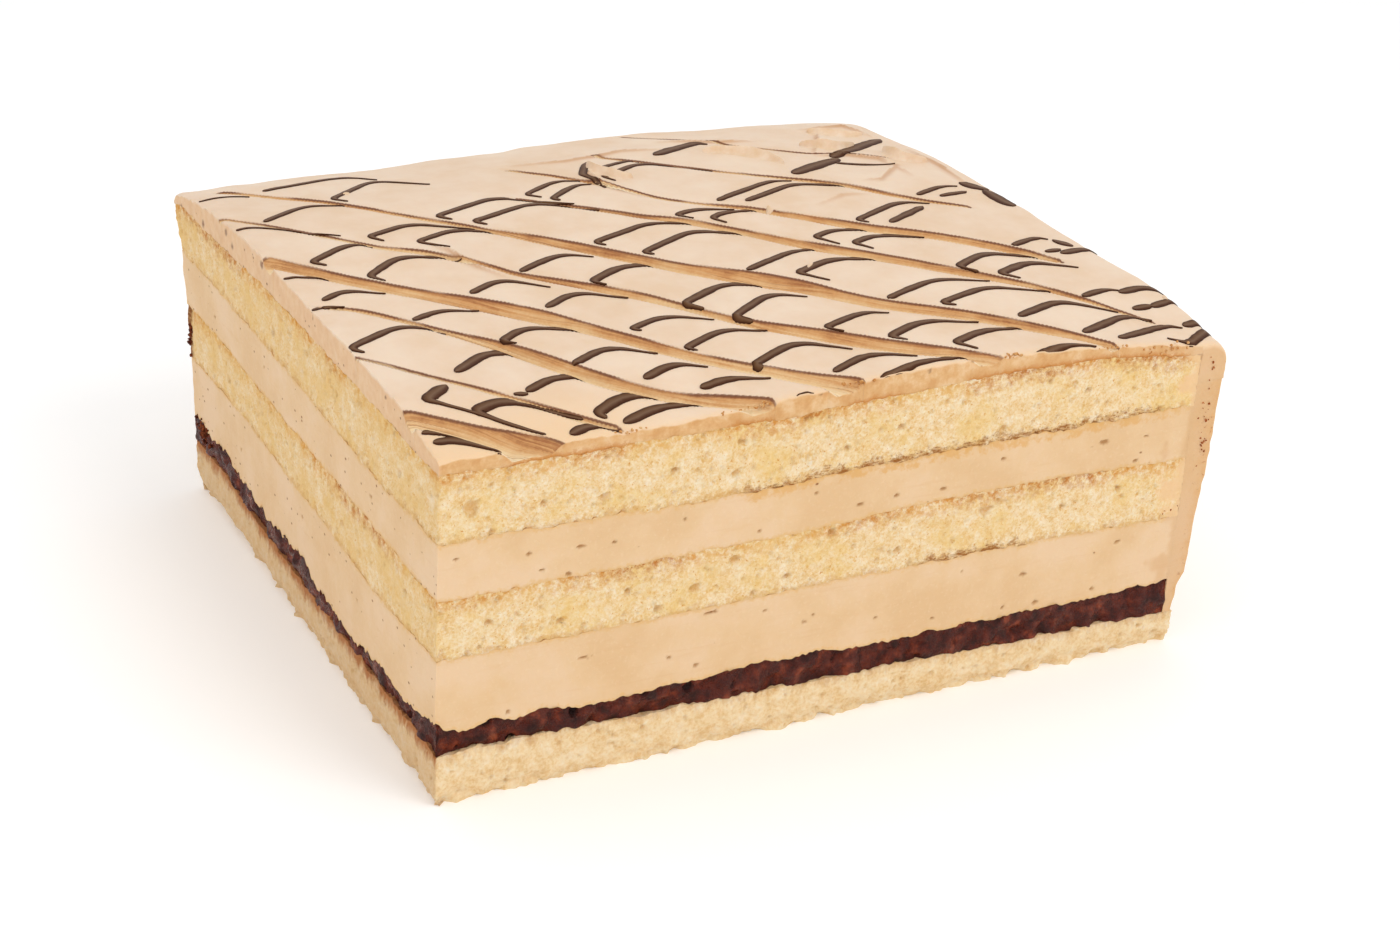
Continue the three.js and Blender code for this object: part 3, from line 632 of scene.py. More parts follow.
def base_material():
    """The soaked base sponge: pale, fine crumb, stained by the filling that lies on it, and darkened on the
    left face by painted shade.
    """
    material, add, shader, place = new_material(
        "soaked_sponge", Roughness=0.9, Specular_IOR_Level=0.12, **SOFT)
    below, sunk, dull = (add("attribute", attribute_name=name) for name in ("below", "sunk", "dull"))
    grain = add("grains", place, 1.1, 5.0, 0.72)
    island = add("grains", place, 0.3, 3.0, 0.6)
    mixed = add("multiply_add", grain, 0.55, add("multiply", island, 0.45))
    crumb = add("ramp", mixed, (0.34, "#e0b67c"), (0.43, "#eac794"), (0.52, "#f3d7aa"), (0.64, "#f8e5c6"))
    # Painted shade: the left face is darkened, as it gets less light near the floor.
    left_shaded = add("over", add("multiply", dull, 0.55), crumb, "#cfa97e")
    seep = add("grains", add("stretch", place, (0.5, 0.5, 0.12)), 1.0, 4.0, 0.7)
    reach = add("multiply_add", seep, -9.0, 4.6)
    depth = add("add", below, reach)
    share = add("multiply_add", dull, 0.5, 0.35)
    depth = add("multiply_add", dull, -1.6, depth)
    share = add("multiply", add("part", depth, 2.2, -0.8), share)
    stained = add("over", share, left_shaded, "#a8622f")
    # Painted shade in the pores, darker the deeper they go.
    pitted = add("over", add("part", sunk, 0.1, 0.9, 0.6), stained, "#c99a5c")
    finish_shader(add, shader, pitted, add("grains", place, 2.2, 4.0, 0.7), 0.35, 0.8)
    return material


def filling_material():
    """Set fruit filling with cocoa: wet, lumpy and almost black, red where it is thin."""
    material, add, shader, place = new_material("fruit_filling", Specular_IOR_Level=0.24)
    sunk = add("attribute", attribute_name="sunk")
    lump = add("grains", place, 0.3, 3.0, 0.55)
    colour = add("ramp", lump, (0.32, "#300d05"), (0.46, "#4a1508"), (0.58, "#5e200d"), (0.72, "#86391c"))
    # Painted shade in the hollows, darker the deeper they go.
    hollow = add("over", add("part", sunk, 0.1, 0.9, 0.85), colour, "#1d0906")
    shader.id_data.links.new(add("part", lump, 0.7, 0.3, 0.45), shader.inputs["Roughness"])
    finish_shader(add, shader, hollow, add("grains", place, 1.4, 4.0, 0.65), 0.6)
    return material


def cream_colour(add, place):
    """Whipped cream's colour, clouded by the centimetre and streaked where the knife dragged."""
    cloud = add("grains", place, 0.05, 4.0, 0.6)
    ground = add("ramp", cloud, (0.38, "#dfba8d"), (0.5, "#e3c095"), (0.62, "#e6c59f"))
    drag = add("grains", add("stretch", place, (0.06, 0.06, 0.7)), 1.0, 3.0, 0.6)
    mottle = add("grains", place, 0.9, 4.0, 0.7)
    streaked = add("over", add("part", drag, 0.58, 0.72, 0.22), ground, "#d9ae80")
    return add("over", add("part", mottle, 0.55, 0.7, 0.35), streaked, "#edd0ab"), mottle


def coat_colour(add, place):
    """The coat's cream: as the layers', browned by the crumbs that were rubbed into it."""
    ground, mottle = cream_colour(add, place)
    return add("over", 0.4, ground, "#d09e69"), mottle


def pinholes(add, place, ground, colour, share=0.45):
    """Small torn bubbles: a dark speck of a few tenths of a millimetre in part of the cells, the painted
    shade inside each hole; the hole is given back for the bump too.
    """
    flat = add("stretch", place, (0.3, 0.3, 0.42))
    cells = add("cells", flat)
    drawn = add("channels", cells["Color"])
    size = add("multiply_add", drawn["Red"], 0.14, 0.05)
    inside = add("subtract", size, cells["Distance"])
    chosen = add("less_than", drawn["Green"], share)
    hole = add("multiply", add("part", inside, 0.0, 0.05), chosen)
    fine = add("cells", place, 0.75)
    fine_draw = add("channels", fine["Color"])
    fine_size = add("multiply_add", fine_draw["Red"], 0.14, 0.06)
    fine_inside = add("part", add("subtract", fine_size, fine["Distance"]), 0.0, 0.06)
    fine_chosen = add("less_than", fine_draw["Green"], 0.22)
    hole = add("maximum", hole, add("multiply", fine_inside, fine_chosen))
    # Painted shade: each pinhole's speck darkens the colour where the hole would be shaded.
    return add("over", add("multiply", hole, 0.85), ground, colour), hole


def cream_material():
    """Whipped coffee cream, cut with a long knife: satin, even, with faint drag marks and pits."""
    material, add, shader, place = new_material(
        "coffee_cream", Roughness=0.62, Specular_IOR_Level=0.22, **SOFT)
    below, above, sunk, banded, smeared = (
        add("attribute", attribute_name=name) for name in ("below", "above", "sunk", "banded", "smeared"))
    ground, mottle = cream_colour(add, place)
    crumbly = add("grains", place, 0.8, 4.0, 0.75)
    waver = add("multiply_add", crumbly, 4.0, -2.0)
    near = add("add", add("minimum", below, above), waver)
    ground = add("over", add("part", near, 0.9, 0.1, 0.5), ground, "#e0b06a")
    depth = add("multiply_add", banded, -1.6, add("add", below, waver))
    band = add("multiply", add("part", depth, 1.0, 0.2), banded)
    band = add("multiply", band, add("part", add("grains", place, 0.3, 4.0, 0.7), 0.42, 0.56))
    ground = add("over", add("multiply", band, 0.6), ground, "#dba354")
    ground = add("over", smeared, ground, coat_colour(add, place)[0])
    speckled, hole = pinholes(add, place, ground, "#966038", 0.55)
    # Painted shade in the pits and torn holes, darker the deeper they go.
    pitted = add("over", add("part", sunk, 0.05, 0.45, 0.75), speckled, "#a8753f")
    height = add("multiply_add", hole, -2.0, mottle)
    finish_shader(add, shader, pitted, height, 0.2, 0.6)
    return material


def coat_material():
    """The cream on the outer side: as the layers' cream, browner outwards and full of crumbs."""
    material, add, shader, place = new_material(
        "side_cream", Roughness=0.62, Specular_IOR_Level=0.22, **SOFT)
    sunk, outer = add("attribute", attribute_name="sunk"), add("attribute", attribute_name="outer")
    ground, mottle = coat_colour(add, place)
    waver = add("multiply_add", add("grains", place, 0.35), 1.6, -0.8)
    edge = add("add", outer, waver)
    browned = add("over", add("part", edge, 0.55, 1.15, 0.6), ground, "#d8a468")
    crumbs = add("grains", place, 0.75, 4.0, 0.75)
    near_edge = add("multiply", add("part", crumbs, 0.6, 0.68), add("part", outer, 0.25, 0.8))
    crumbed = add("over", add("multiply", near_edge, 0.75), browned, "#a4582c")
    speckled, hole = pinholes(add, place, crumbed, "#8a4a26", 0.6)
    # Painted shade in the pits, darker the deeper they go.
    pitted = add("over", add("part", sunk, 0.05, 0.5, 0.85), speckled, "#8f5a34")
    height = add("multiply_add", hole, -2.0, mottle)
    finish_shader(add, shader, pitted, height, 0.25, 0.7)
    return material


def feathered_material():
    """The cream top: set and satin where it is whole, torn to coffee-brown streaks by the comb, with painted
    shade in the grooves and at the creases.
    """
    material, add, shader, place = new_material(
        "set_cream", Roughness=0.5, Specular_IOR_Level=0.25, **SOFT)
    gap, side, width, along, cut, slope, outer, coated, left, fringe, sunk, crease_shade = (
        add("attribute", attribute_name=name) for name in (
            "stroke_gap", "stroke_side", "stroke_width", "stroke_along", "cut", "slope", "outer", "coated",
            "left", "fringe", "sunk", "crease_shade"))
    whole = add("ramp", add("grains", place, 0.05), (0.35, "#e3c5a6"), (0.5, "#e7ccb1"), (0.65, "#ead2b9"))
    whole = add("over", slope, whole, "#ecc9a0")
    # Painted shade at the foot of each crease's steep side.
    whole = add("over", add("multiply", crease_shade, 0.75), whole, "#bd8450")
    # Streaks that run with the stroke, a third of a millimetre wide.
    across = add("multiply", side, width)
    run = add("pair", across, along)
    streak = add("grains", add("stretch", run, (0.8, 0.035, 1.0)), 1.0, 4.0, 0.7)
    mottle = add("grains", place, 0.8, 4.0, 0.7)
    # Painted shade: the side term darkens a groove towards its far wall, which its rim shades.
    swayed = add("multiply_add", streak, 1.5, add("multiply", side, 0.8))
    swayed = add("multiply_add", mottle, 0.4, swayed)
    deep = add("grains", place, 0.035)
    swayed = add("multiply_add", add("part", deep, 0.4, 0.62), 0.35, swayed)
    torn = add("ramp", add("part", swayed, 0.25, 2.15), (0.0, "#f3dfc1"), (0.36, "#edd1a5"),
               (0.58, "#e5bf8d"), (0.8, "#d09a62"), (0.98, "#9f6339"))
    # A few threads of chocolate that the comb pulled through the groove.
    thread = add("grains", add("stretch", run, (1.1, 0.02, 1.0)), 1.0, 2.0, 0.5)
    torn = add("over", add("part", thread, 0.59, 0.66, 0.65), torn, "#9d6339")
    combed = add("over", add("part", gap, 0.12, -0.12), whole, torn)
    # Where chocolate was dragged along: a dark line on the far edge, partly chocolate and partly painted
    # shadow under the rim, and a finer one of chocolate on the near edge.
    away = add("absolute", gap)
    broken = add("grains", add("stretch", run, (0.2, 0.05, 1.0)), 1.0, 2.0, 0.5)
    far_chocolate_and_shadow = add("multiply", add("part", away, 0.42, 0.14), add("part", side, 0.0, 0.3))
    far_chocolate_and_shadow = add("multiply", far_chocolate_and_shadow, add("part", broken, 0.34, 0.5))
    near_line = add("multiply", add("part", away, 0.32, 0.1), add("part", side, 0.0, -0.3))
    near_line = add("multiply", near_line, add("part", broken, 0.62, 0.45))
    # Dark far-edge line: dragged chocolate together with painted shadow under the groove's rim.
    edged = add("over", add("multiply", far_chocolate_and_shadow, 0.9), combed, "#734126")
    edged = add("over", add("multiply", near_line, 0.7), edged, "#91603c")
    sawn = add("ramp", add("grains", place, 0.3, 4.0, 0.7), (0.36, "#d29e65"), (0.5, "#dbad77"),
               (0.64, "#e3bd8f"))
    sawn = add("over", add("multiply", left, 0.55), sawn, "#e3be98")
    sawn, hole = pinholes(add, place, sawn, "#8f5a30", 0.55)
    sawn = add("over", outer, sawn, coat_colour(add, place)[0])
    crumbly = add("grains", place, 1.2, 4.0, 0.75)
    crumbly = add("part", add("multiply_add", fringe, 0.35, crumbly), 0.62, 0.72)
    sawn = add("over", add("multiply", crumbly, fringe), sawn, "#c5803a")
    # Painted shade in the sawn edge's pits, which the mesh doesn't cut.
    sawn = add("over", add("part", sunk, 0.15, 0.8, 0.8), sawn, "#7c4a26")
    both = add("over", cut, edged, sawn)
    both = add("over", coated, both, "#ddb07e")
    height = add("multiply", streak, add("part", gap, 0.1, -0.2))
    height = add("multiply_add", mottle, 0.15, height)
    height = add("multiply_add", add("multiply", hole, cut), -0.8, height)
    finish_shader(add, shader, both, height, 0.35, 0.8)
    return material


def curl_material():
    """A curl of the same cream that stands up: paler, as its thin crest lets light through."""
    material, add, shader, place = new_material(
        "curled_cream", Roughness=0.5, Specular_IOR_Level=0.25, **SOFT)
    colour = add("ramp", add("grains", place, 0.25), (0.35, "#e2c19c"), (0.5, "#e7c9aa"), (0.65, "#ecd3b8"))
    finish_shader(add, shader, colour, add("grains", place, 0.8), 0.2, 0.5)
    return material


def chocolate_material():
    """Thin chocolate icing, set on the cream: dark edged, smooth and a little glossy, with a painted sheen
    along the middle of each line.
    """
    material, add, shader, place = new_material(
        "chocolate_icing", Roughness=0.5, Specular_IOR_Level=0.1)
    share = add("attribute", attribute_name="share")
    waver = add("multiply_add", add("grains", place, 0.4), 0.5, -0.25)
    at = add("add", share, waver)
    # Painted sheen: across the line the colour lightens from the dark edges to a band along the middle.
    colour = add("ramp", add("part", at, -1.0, 1.0), (0.04, "#40200c"), (0.2, "#502e19"), (0.45, "#735640"),
                 (0.7, "#644329"), (0.94, "#40200c"))
    finish_shader(add, shader, colour, add("grains", place, 0.8), 0.1, 0.5)
    return material


# ---- Pieces ------------------------------------------------------------------------------------------

ROWS = dict(sponge=36, cream=36, filling=18, base=32)

# Larger torn bubbles and pits on the cut faces: [place along the face, height, half width, half height].
RIGHT_HOLES = dict(
    upper_sponge=[(7.5, 72.5, 2, 1.9), (38, 69.5, 1.3, 1.2), (71, 77, 1.1, 0.8), (87, 80, 0.9, 0.7),
                  (70, 69.5, 1.2, 0.8), (140, 69, 1.3, 0.8), (112, 74, 0.9, 0.8), (24, 70.5, 0.9, 0.7),
                  (55, 73, 1.0, 0.8), (152, 79, 0.8, 0.7), (163, 75, 0.9, 0.7), (98, 71, 1.0, 0.7)],
    inner_sponge=[(71, 48, 1.4, 1.1), (96, 50, 1.2, 1.0), (61.5, 42.5, 1.6, 1.4), (52.5, 39, 1.1, 0.9),
                  (45, 45, 1.0, 0.9), (137.5, 48, 1.9, 1.4), (114, 42, 1.3, 0.9), (29, 41, 1.0, 0.8),
                  (12, 44, 1.1, 0.8), (85, 41, 1.0, 0.9), (160, 45, 1.1, 0.8), (176, 47, 0.9, 0.8)],
    thin_cream=[(21, 59, 0.8, 0.6), (33, 58.5, 1.6, 0.5), (41, 58, 0.8, 0.4), (24, 54.5, 0.8, 0.4),
                (30.5, 52.3, 1.0, 0.6), (4, 61, 0.7, 0.5), (103, 56, 1.3, 0.6), (112.5, 56.5, 1.0, 0.6),
                (125, 56, 1.2, 0.5), (170, 60.3, 1.8, 0.9), (180, 54, 0.9, 0.6), (182, 60, 0.8, 0.5),
                (58, 60.5, 0.7, 0.4), (77, 54, 0.7, 0.4), (91, 61, 0.8, 0.4), (141, 61, 0.9, 0.4)],
    thick_cream=[(17, 20.8, 0.9, 0.5), (56, 26, 0.8, 0.6), (63, 22.5, 0.9, 0.5), (66, 35.5, 2.6, 0.5),
                 (35, 30.5, 2.4, 0.4), (91, 28, 1.0, 0.5), (93, 29.3, 0.7, 0.4), (110, 25, 0.8, 0.5),
                 (126, 21.5, 0.9, 0.6), (146, 20.5, 0.9, 0.5), (151, 28.5, 1.5, 0.8), (155.5, 20, 0.9, 0.6),
                 (172, 20.3, 0.8, 0.5), (178, 32.3, 1.1, 0.6), (80, 33, 0.7, 0.4), (133, 33, 0.8, 0.4)],
)
LEFT_HOLES = dict(
    upper_sponge=[(22, 72, 1.2, 0.9), (61, 74, 1.0, 0.8), (104, 71, 1.2, 0.8), (151, 69, 1.0, 0.7)],
    inner_sponge=[(18, 45, 1.1, 0.8), (57, 43, 1.2, 0.9), (96, 46, 1.0, 0.8), (140, 44, 1.2, 0.8)],
    thin_cream=[(39, 58, 0.9, 0.5), (112, 59, 1.0, 0.5), (150, 57, 0.9, 0.5)],
    thick_cream=[(48, 27, 0.9, 0.5), (85, 31, 0.8, 0.5), (131, 28, 1.0, 0.5)],
)


def holes(rings, name, depth, scale):
    """How deep the named holes of both cut faces go at each point. A larger scale makes them smaller."""
    sunk = np.zeros(rings.shape[:2])
    for table, axis in ((RIGHT_HOLES, 0), (LEFT_HOLES, 1)):
        on_face = np.abs(rings[..., 1 - axis]) < 1
        for at, z, half_width, half_height in table[name]:
            reach = ((rings[..., axis] - at) / half_width) ** 2 + ((rings[..., 2] - z) / half_height) ** 2
            reach = reach * scale * (1 + 0.7 * noise(rings, 0.8, 45))
            sunk = np.maximum(sunk, depth * np.sqrt(np.maximum(1 - reach, 0)) * on_face)
    return sunk


# Where the sponges' upper edges are baked darkest, and where the knife dragged brown threads along
# the lower edge, as stretches of the right (x) and the left cut face (y).
SPONGE_EDGES = dict(
    upper_sponge=dict(crust=0, toasted_x=[(18, 42), (128, 192)], toasted_y=[(128, 178)],
                      seared_x=[(72, 186)]),
    inner_sponge=dict(crust=1, toasted_x=[(30, 60), (100, 170)], toasted_y=[(20, 60)],
                      seared_x=[(120, 150)]),
)
CRUST = dict(back=(168.5, 171.5), left=(1, 14))  # the inner sponge's crust, at its far left end
BANDED = [(72, 192)]  # where the thin cream is stained by the sponge under it
SOFT_END = 4  # a stretch sets in and out this far on both sides of its end
SMEAR_ENDS = (2.5, 1)  # a smear thins out between these distances from the layer's end
SMEARED_RIM = (1.6, 0.4)  # the rim that is always smeared


def windows(at, stretches):
    """1 in each of the stretches, with soft ends."""
    return sum(smoothstep(at, low - SOFT_END, low + SOFT_END)
               * (1 - smoothstep(at, high - SOFT_END, high + SOFT_END)) for low, high in stretches)


def smears(rings, on_right, reach):
    """How far the coat's cream is smeared over a layer's end on the right cut face."""
    x = rings[..., 0]
    torn = x + 1.5 * reach * noise(rings, 4, 46) + 0.6 * reach * noise(rings, 1.3, 47)
    torn = smoothstep(torn, FILLED_LENGTH - reach - SMEAR_ENDS[0], FILLED_LENGTH - SMEAR_ENDS[1])
    rim = smoothstep(x, FILLED_LENGTH - SMEARED_RIM[0], FILLED_LENGTH - SMEARED_RIM[1])
    return on_right * np.maximum(torn, rim)


def sway(places):
    """How the long knife wandered. All layers share it, so that their faces stay flush."""
    return uneven(places, 40, (0.14, 14), (0.06, 3))


def add_sponge(name, below, above, bulge, seed, settings):
    rings, out, cut, over_it, under_it = layer_rings(below, above, ROWS["sponge"], bulge)
    pores = bubbles(rings, 1.5, 0.5, (0.2, 0.75), seed) + bubbles(rings, 9, 0.16, (0.4, 1.1), seed + 20)
    named = holes(rings, name, 1.1, 1.2)
    lumps = 0.22 * noise(rings, 3, seed + 41) + 0.16 * noise(rings, 1.3, seed + 43)
    rough_side = np.where(cut, 0, 0.9) * noise(rings, 5, seed + 42)
    on_right, on_left = (out[:, 1] < -0.5) & cut, (out[:, 0] < -0.5) & cut
    smeared = smears(rings, on_right, 3)
    depth = settings.pore_depth / MM * (1 - smeared)
    places = push(rings, out, sway(rings) + lumps * (1 - smeared) + rough_side - depth * pores - named)
    x, y, edges = rings[..., 0], rings[..., 1], SPONGE_EDGES[name]
    toasted = on_right * windows(x, edges["toasted_x"]) + on_left * windows(y, edges["toasted_y"])
    crusted = smoothstep(y, *CRUST["back"]) * (1 - smoothstep(x, *CRUST["left"])) * edges["crust"]
    piece = roll_up(name, places, sunk=np.maximum(pores, named), above=over_it, below=under_it,
                    toasted=toasted, seared=on_right * windows(x, edges["seared_x"]), crusted=crusted,
                    smeared=smeared, dragged=np.where(on_left, 1, 0))
    roughen(piece, 0.8, 0.5, noise_depth=2)
    close_ends(piece)
    return piece


def add_cream(name, below, above, bulge, seed):
    rings, out, cut, over_it, under_it = layer_rings(below, above, ROWS["cream"], bulge)
    pits = bubbles(rings, 6, 0.18, (0.25, 0.5), seed)
    named = holes(rings, name, 0.55, 1.7)
    rough_side = np.where(cut, 0, 0.5) * noise(rings, 7, seed + 42)
    fine = 0.05 * noise(rings, 1.1, seed + 43)
    places = push(rings, out, sway(rings) + fine + rough_side - 0.8 * pits - named)
    on_right = (out[:, 1] < -0.5) & cut
    banded = on_right * windows(rings[..., 0], BANDED) * (name == "thin_cream")
    piece = roll_up(name, places, sunk=np.maximum(pits, named), above=over_it, below=under_it,
                    banded=banded, smeared=smears(rings, on_right, 4))
    close_ends(piece)
    return piece


def add_filling():
    rings, out, cut, over_it, under_it = layer_rings("base_top", "filling_top", ROWS["filling"], 1.2)
    lumps = uneven(rings, 301, (0.9, 4.2), (0.45, 1.8)) - 0.35
    hollows = bubbles(rings, 4.6, 0.4, (0.5, 1.6), 303)
    places = push(rings, out, lumps - 1.1 * hollows)
    piece = roll_up("fruit_filling", places, sunk=hollows, above=over_it, below=under_it)
    roughen(piece, 1.2, 0.45, noise_depth=1)
    close_ends(piece)
    return piece


# The base sponge's lower edge is drawn in, more so towards the back of the left face.
FOOT_HEIGHT = 6
FOOT_POWER = 1.6
FOOT_DRAWN_IN = 1.5
FAR_FOOT = 1.1
FAR_FOOT_FROM = 70


def add_base():
    low, out, cut = outline(BASE_LENGTH, BASE_BACK)
    high = outline(BASE_LENGTH, BOUNDARIES["base_top"]["back"])[0]
    high_z = boundary("base_top", np.minimum(high[:, 0], FILLED_LENGTH), high[:, 1])
    share = np.linspace(0, 1, ROWS["base"] + 1)[:, None]
    z = high_z * share
    rings = np.concatenate([lerp(low, high, share[:, :, None]), z[..., None]], -1)
    foot = (1 - smoothstep(z, 0, FOOT_HEIGHT)) ** FOOT_POWER
    far = np.where(out[:, 0] < 0, smoothstep(rings[..., 1], FAR_FOOT_FROM, BASE_BACK), 0)
    drawn_in = foot * (FOOT_DRAWN_IN + FAR_FOOT * far)
    ragged = 0.5 * foot * noise(rings, 7, 404) + (0.25 + 0.8 * foot) * noise(rings, 3, 401)
    ragged = ragged + (0.2 + 0.4 * foot) * noise(rings, 1.3, 402)
    pores = bubbles(rings, 1.6, 0.45, (0.2, 0.8), 403)
    places = push(rings, out, ragged - drawn_in - 0.8 * pores)
    # The left face's mask carries its painted shade and its longer stain.
    piece = roll_up("soaked_base", places, sunk=pores, below=high_z - z, dull=np.where(out[:, 0] < 0, 1, 0))
    roughen(piece, 0.8, 0.45, noise_depth=2)
    close_ends(piece)
    return piece


# ---- The feathered top -------------------------------------------------------------------------------


def stroke_half(stroke, along):
    """Half a stroke's width, measured as across."""
    knots = [(place, width) for place, _, width in stroke]
    return np.maximum(through(knots, along), LEAST_GROOVE) * math.sqrt(0.5)


GROOVE_EDGE = (0.4, 1.03)  # a groove's floor goes over into its rim between these half widths
RIM = dict(height=0.3, middle=0.4, spread=0.45)
PILLOW = dict(drop=0.3, reach=2)
FAR_OFF = 1e3  # the distance to a stroke before any is found
MOST_GAP = 9  # the most of it that the material reads


def combed(x, y, settings):
    """The comb's relief on the cream, and the nearest stroke: how far outside its edge in
    millimetres, on which side of its middle in half widths, its width, and the place along it."""
    across, along = x + y, x - y
    relief = np.zeros(x.shape)
    gap = np.full(x.shape, FAR_OFF)
    side, width = np.full(x.shape, 3.0), np.ones(x.shape)
    for stroke in STROKES:
        half = stroke_half(stroke, along)
        away = (across - through([knot[:2] for knot in stroke], along)) / half
        wide = half * math.sqrt(2)
        outside = (np.abs(away) - 1) * wide / 2
        here = smoothstep(along, stroke[0][0] - LIFT, stroke[0][0])
        here = here * (1 - smoothstep(along, stroke[-1][0], stroke[-1][0] + LIFT))
        outside = outside + 3 * (1 - here)
        groove = here * settings.groove_depth_share * wide * (1 - smoothstep(np.abs(away), *GROOVE_EDGE))
        rim = RIM["height"] * bell(outside, RIM["middle"], RIM["spread"]) * smoothstep(wide, 1, 4)
        pillow = PILLOW["drop"] * here * np.exp(-np.maximum(outside, 0) / PILLOW["reach"])
        relief = np.minimum(relief, -groove - pillow) + rim
        closer = outside < gap
        gap = np.where(closer, outside, gap)
        side = np.where(closer, away, side)
        width = np.where(closer, wide, width)
    return relief, np.minimum(gap, MOST_GAP), np.clip(side, -3, 3), width, along * math.sqrt(0.5)


# Creases that the spatula and the comb left standing: their way as (x, y), height, and how far the
# steep and the gentle side reach.
CREASES = [
    dict(way=[(182.8, 163.8), (176, 152), (168.9, 141.1)], height=1.1, steep=0.7, gentle=4),
    dict(way=[(168.1, 139), (176.6, 137.2), (183.9, 131.7), (183.6, 125.8)], height=1.3, steep=0.8, gentle=4),
    dict(way=[(169, 114.8), (173.2, 114), (184, 124), (184.8, 116.3)], height=0.8, steep=0.9, gentle=3),
    dict(way=[(179.5, 167.8), (192.3, 166.3), (195.7, 155.3)], height=1.6, steep=2.5, gentle=3),
    dict(way=[(197.6, 137.9), (196.8, 119.9), (196, 106.1)], height=1.1, steep=1.5, gentle=3),
    dict(way=[(145.9, 100.3), (156.2, 105), (163.3, 105.1)], height=0.5, steep=1, gentle=4),
    dict(way=[(41.4, 103.5), (43.4, 99.8), (44.2, 93.5), (45.9, 87.4), (49.5, 80.7)], height=0.9, steep=0.6,
         gentle=2.5),
    dict(way=[(103.6, 151.6), (99.6, 140.7), (99.2, 133.1), (102, 126.1), (105.9, 120.1)], height=1.7,
         steep=0.6, gentle=1.8),
    dict(way=[(86, 160), (100, 157), (118, 160), (130, 157)], height=0.9, steep=1.2, gentle=4),
    dict(way=[(133, 166), (146, 160), (158, 158)], height=1.2, steep=1.2, gentle=4),
]


def creased(x, y):
    """How high the creases stand at a place, and how near it lies to the foot of a steep side, where the
    material paints shade.
    """
    rise, foot = np.zeros(x.shape), np.zeros(x.shape)
    for crease in CREASES:
        way = np.array(crease["way"])
        most, shade = np.zeros(x.shape), np.zeros(x.shape)
        passed = 0
        for (x0, y0), (x1, y1) in zip(way, way[1:]):
            length = math.hypot(x1 - x0, y1 - y0)
            ahead = ((x - x0) * (x1 - x0) + (y - y0) * (y1 - y0)) / length ** 2
            t = np.clip(ahead, 0, 1)
            away = np.hypot(x - lerp(x0, x1, t), y - lerp(y0, y1, t))
            left = (x1 - x0) * (y - y0) - (y1 - y0) * (x - x0) > 0
            slant = np.exp(-away / np.where(left, crease["gentle"], crease["steep"]))
            ends = np.sin(math.pi * (0.08 + 0.84 * (passed + t) / (len(way) - 1)))
            most = np.maximum(most, slant * ends)
            shade = np.maximum(shade, np.where(left, 0, 1) * bell(away, 0.5, 0.9) * ends)
            passed += 1
        rise = np.maximum(rise, crease["height"] * most)
        foot = np.maximum(foot, shade * min(crease["height"], 1))
    return rise, foot


def past_bend(x, y):
    """How far a place lies past the start of the outer corner's bend, along each axis."""
    return np.maximum(x - TOP_LENGTH + OUTER_CORNER, 0), np.maximum(y - TOP_DEPTH + OUTER_CORNER, 0)


def inset(x, y):
    """How far a place lies in from the outer edge, and how far the edge drops there."""
    dx, dy = past_bend(x, y)
    straight = np.minimum(TOP_LENGTH - x, TOP_DEPTH - y)
    bent = OUTER_CORNER - np.hypot(dx, dy)
    drop = np.where(TOP_LENGTH - x < TOP_DEPTH - y, SHOULDER_DROP, LIP_DROP)
    return np.where((dx > 0) & (dy > 0), bent, straight), drop


EDGE_WEAR = 0.8  # how far in the sawn edges are worn down
LOOSE_RIM = 14  # how far in the outer edges lie looser
RIM_CLEAR = 0.2  # what lies over the outer edge takes its height from this far in


def top_surface(x, y, settings):
    """The height of the feathered surface, and what its material reads."""
    relief, gap, side, width, along = combed(x, y, settings)
    from_edge, drop = inset(x, y)
    lean = np.clip(1 - from_edge / SHOULDER_WIDTH, 0, 1)
    shoulder = drop * (1 - np.sqrt(np.maximum(1 - lean ** 2, 0)))
    flat = np.stack([x, y], -1)
    swell = uneven(flat, 501, (0.22, 26), (0.1, 9), (0.03, 2.5))
    worn = 0.5 * np.exp(-y / EDGE_WEAR) + 0.4 * np.exp(-x / EDGE_WEAR)
    worn = worn + 0.3 * noise(flat, 1.6, 504) * np.exp(-np.minimum(x, y) / (1.5 * EDGE_WEAR))
    loose = np.exp(-np.maximum(from_edge, 0) / LOOSE_RIM) * smoothstep(x + y, 90, 200)
    swell = swell + loose * uneven(flat, 505, (0.8, 17), (0.25, 7))
    z = dome(x, y) + swell + creased(x, y)[0] + relief * (1 - 0.6 * lean) - shoulder - worn
    return z, gap, side, width, along


def surface_at(x, y, settings):
    """The height of the feathered surface under what lies on it and may reach over its edge."""
    clear_x, clear_y = np.clip(x, 0, TOP_LENGTH - RIM_CLEAR), np.clip(y, 0, TOP_DEPTH - RIM_CLEAR)
    return top_surface(clear_x, clear_y, settings)[0]


TOP_CELLS = (300, 270)
SHOULDER_CELLS = 8
SIDE_ROWS = 8
SPLIT_GAP = 0.05
LEAST_SIDE = 0.8  # the side of the top is at least this high

# Stretches of the right face where crumbs fringe the cream's lower edge.
FRINGES = [(14, 44), (66, 80), (96, 112), (128, 192)]
# Pits in the cream's sawn edge, painted only as dark shade, on the right and the left face: (place, height,
# radius).
EDGE_PITS = (
    [(22, 85.5, 0.8), (58, 86.5, 0.7), (90, 85.8, 0.8), (118, 86.8, 0.7), (163, 86, 0.9), (194.5, 78.5, 1.3)],
    [(30, 86, 0.7), (76, 86.3, 0.7), (112, 85.5, 1.3), (134, 82.2, 1.1), (139, 84, 1.2), (158, 79.5, 1.3),
     (176, 77.5, 1.2)],
)


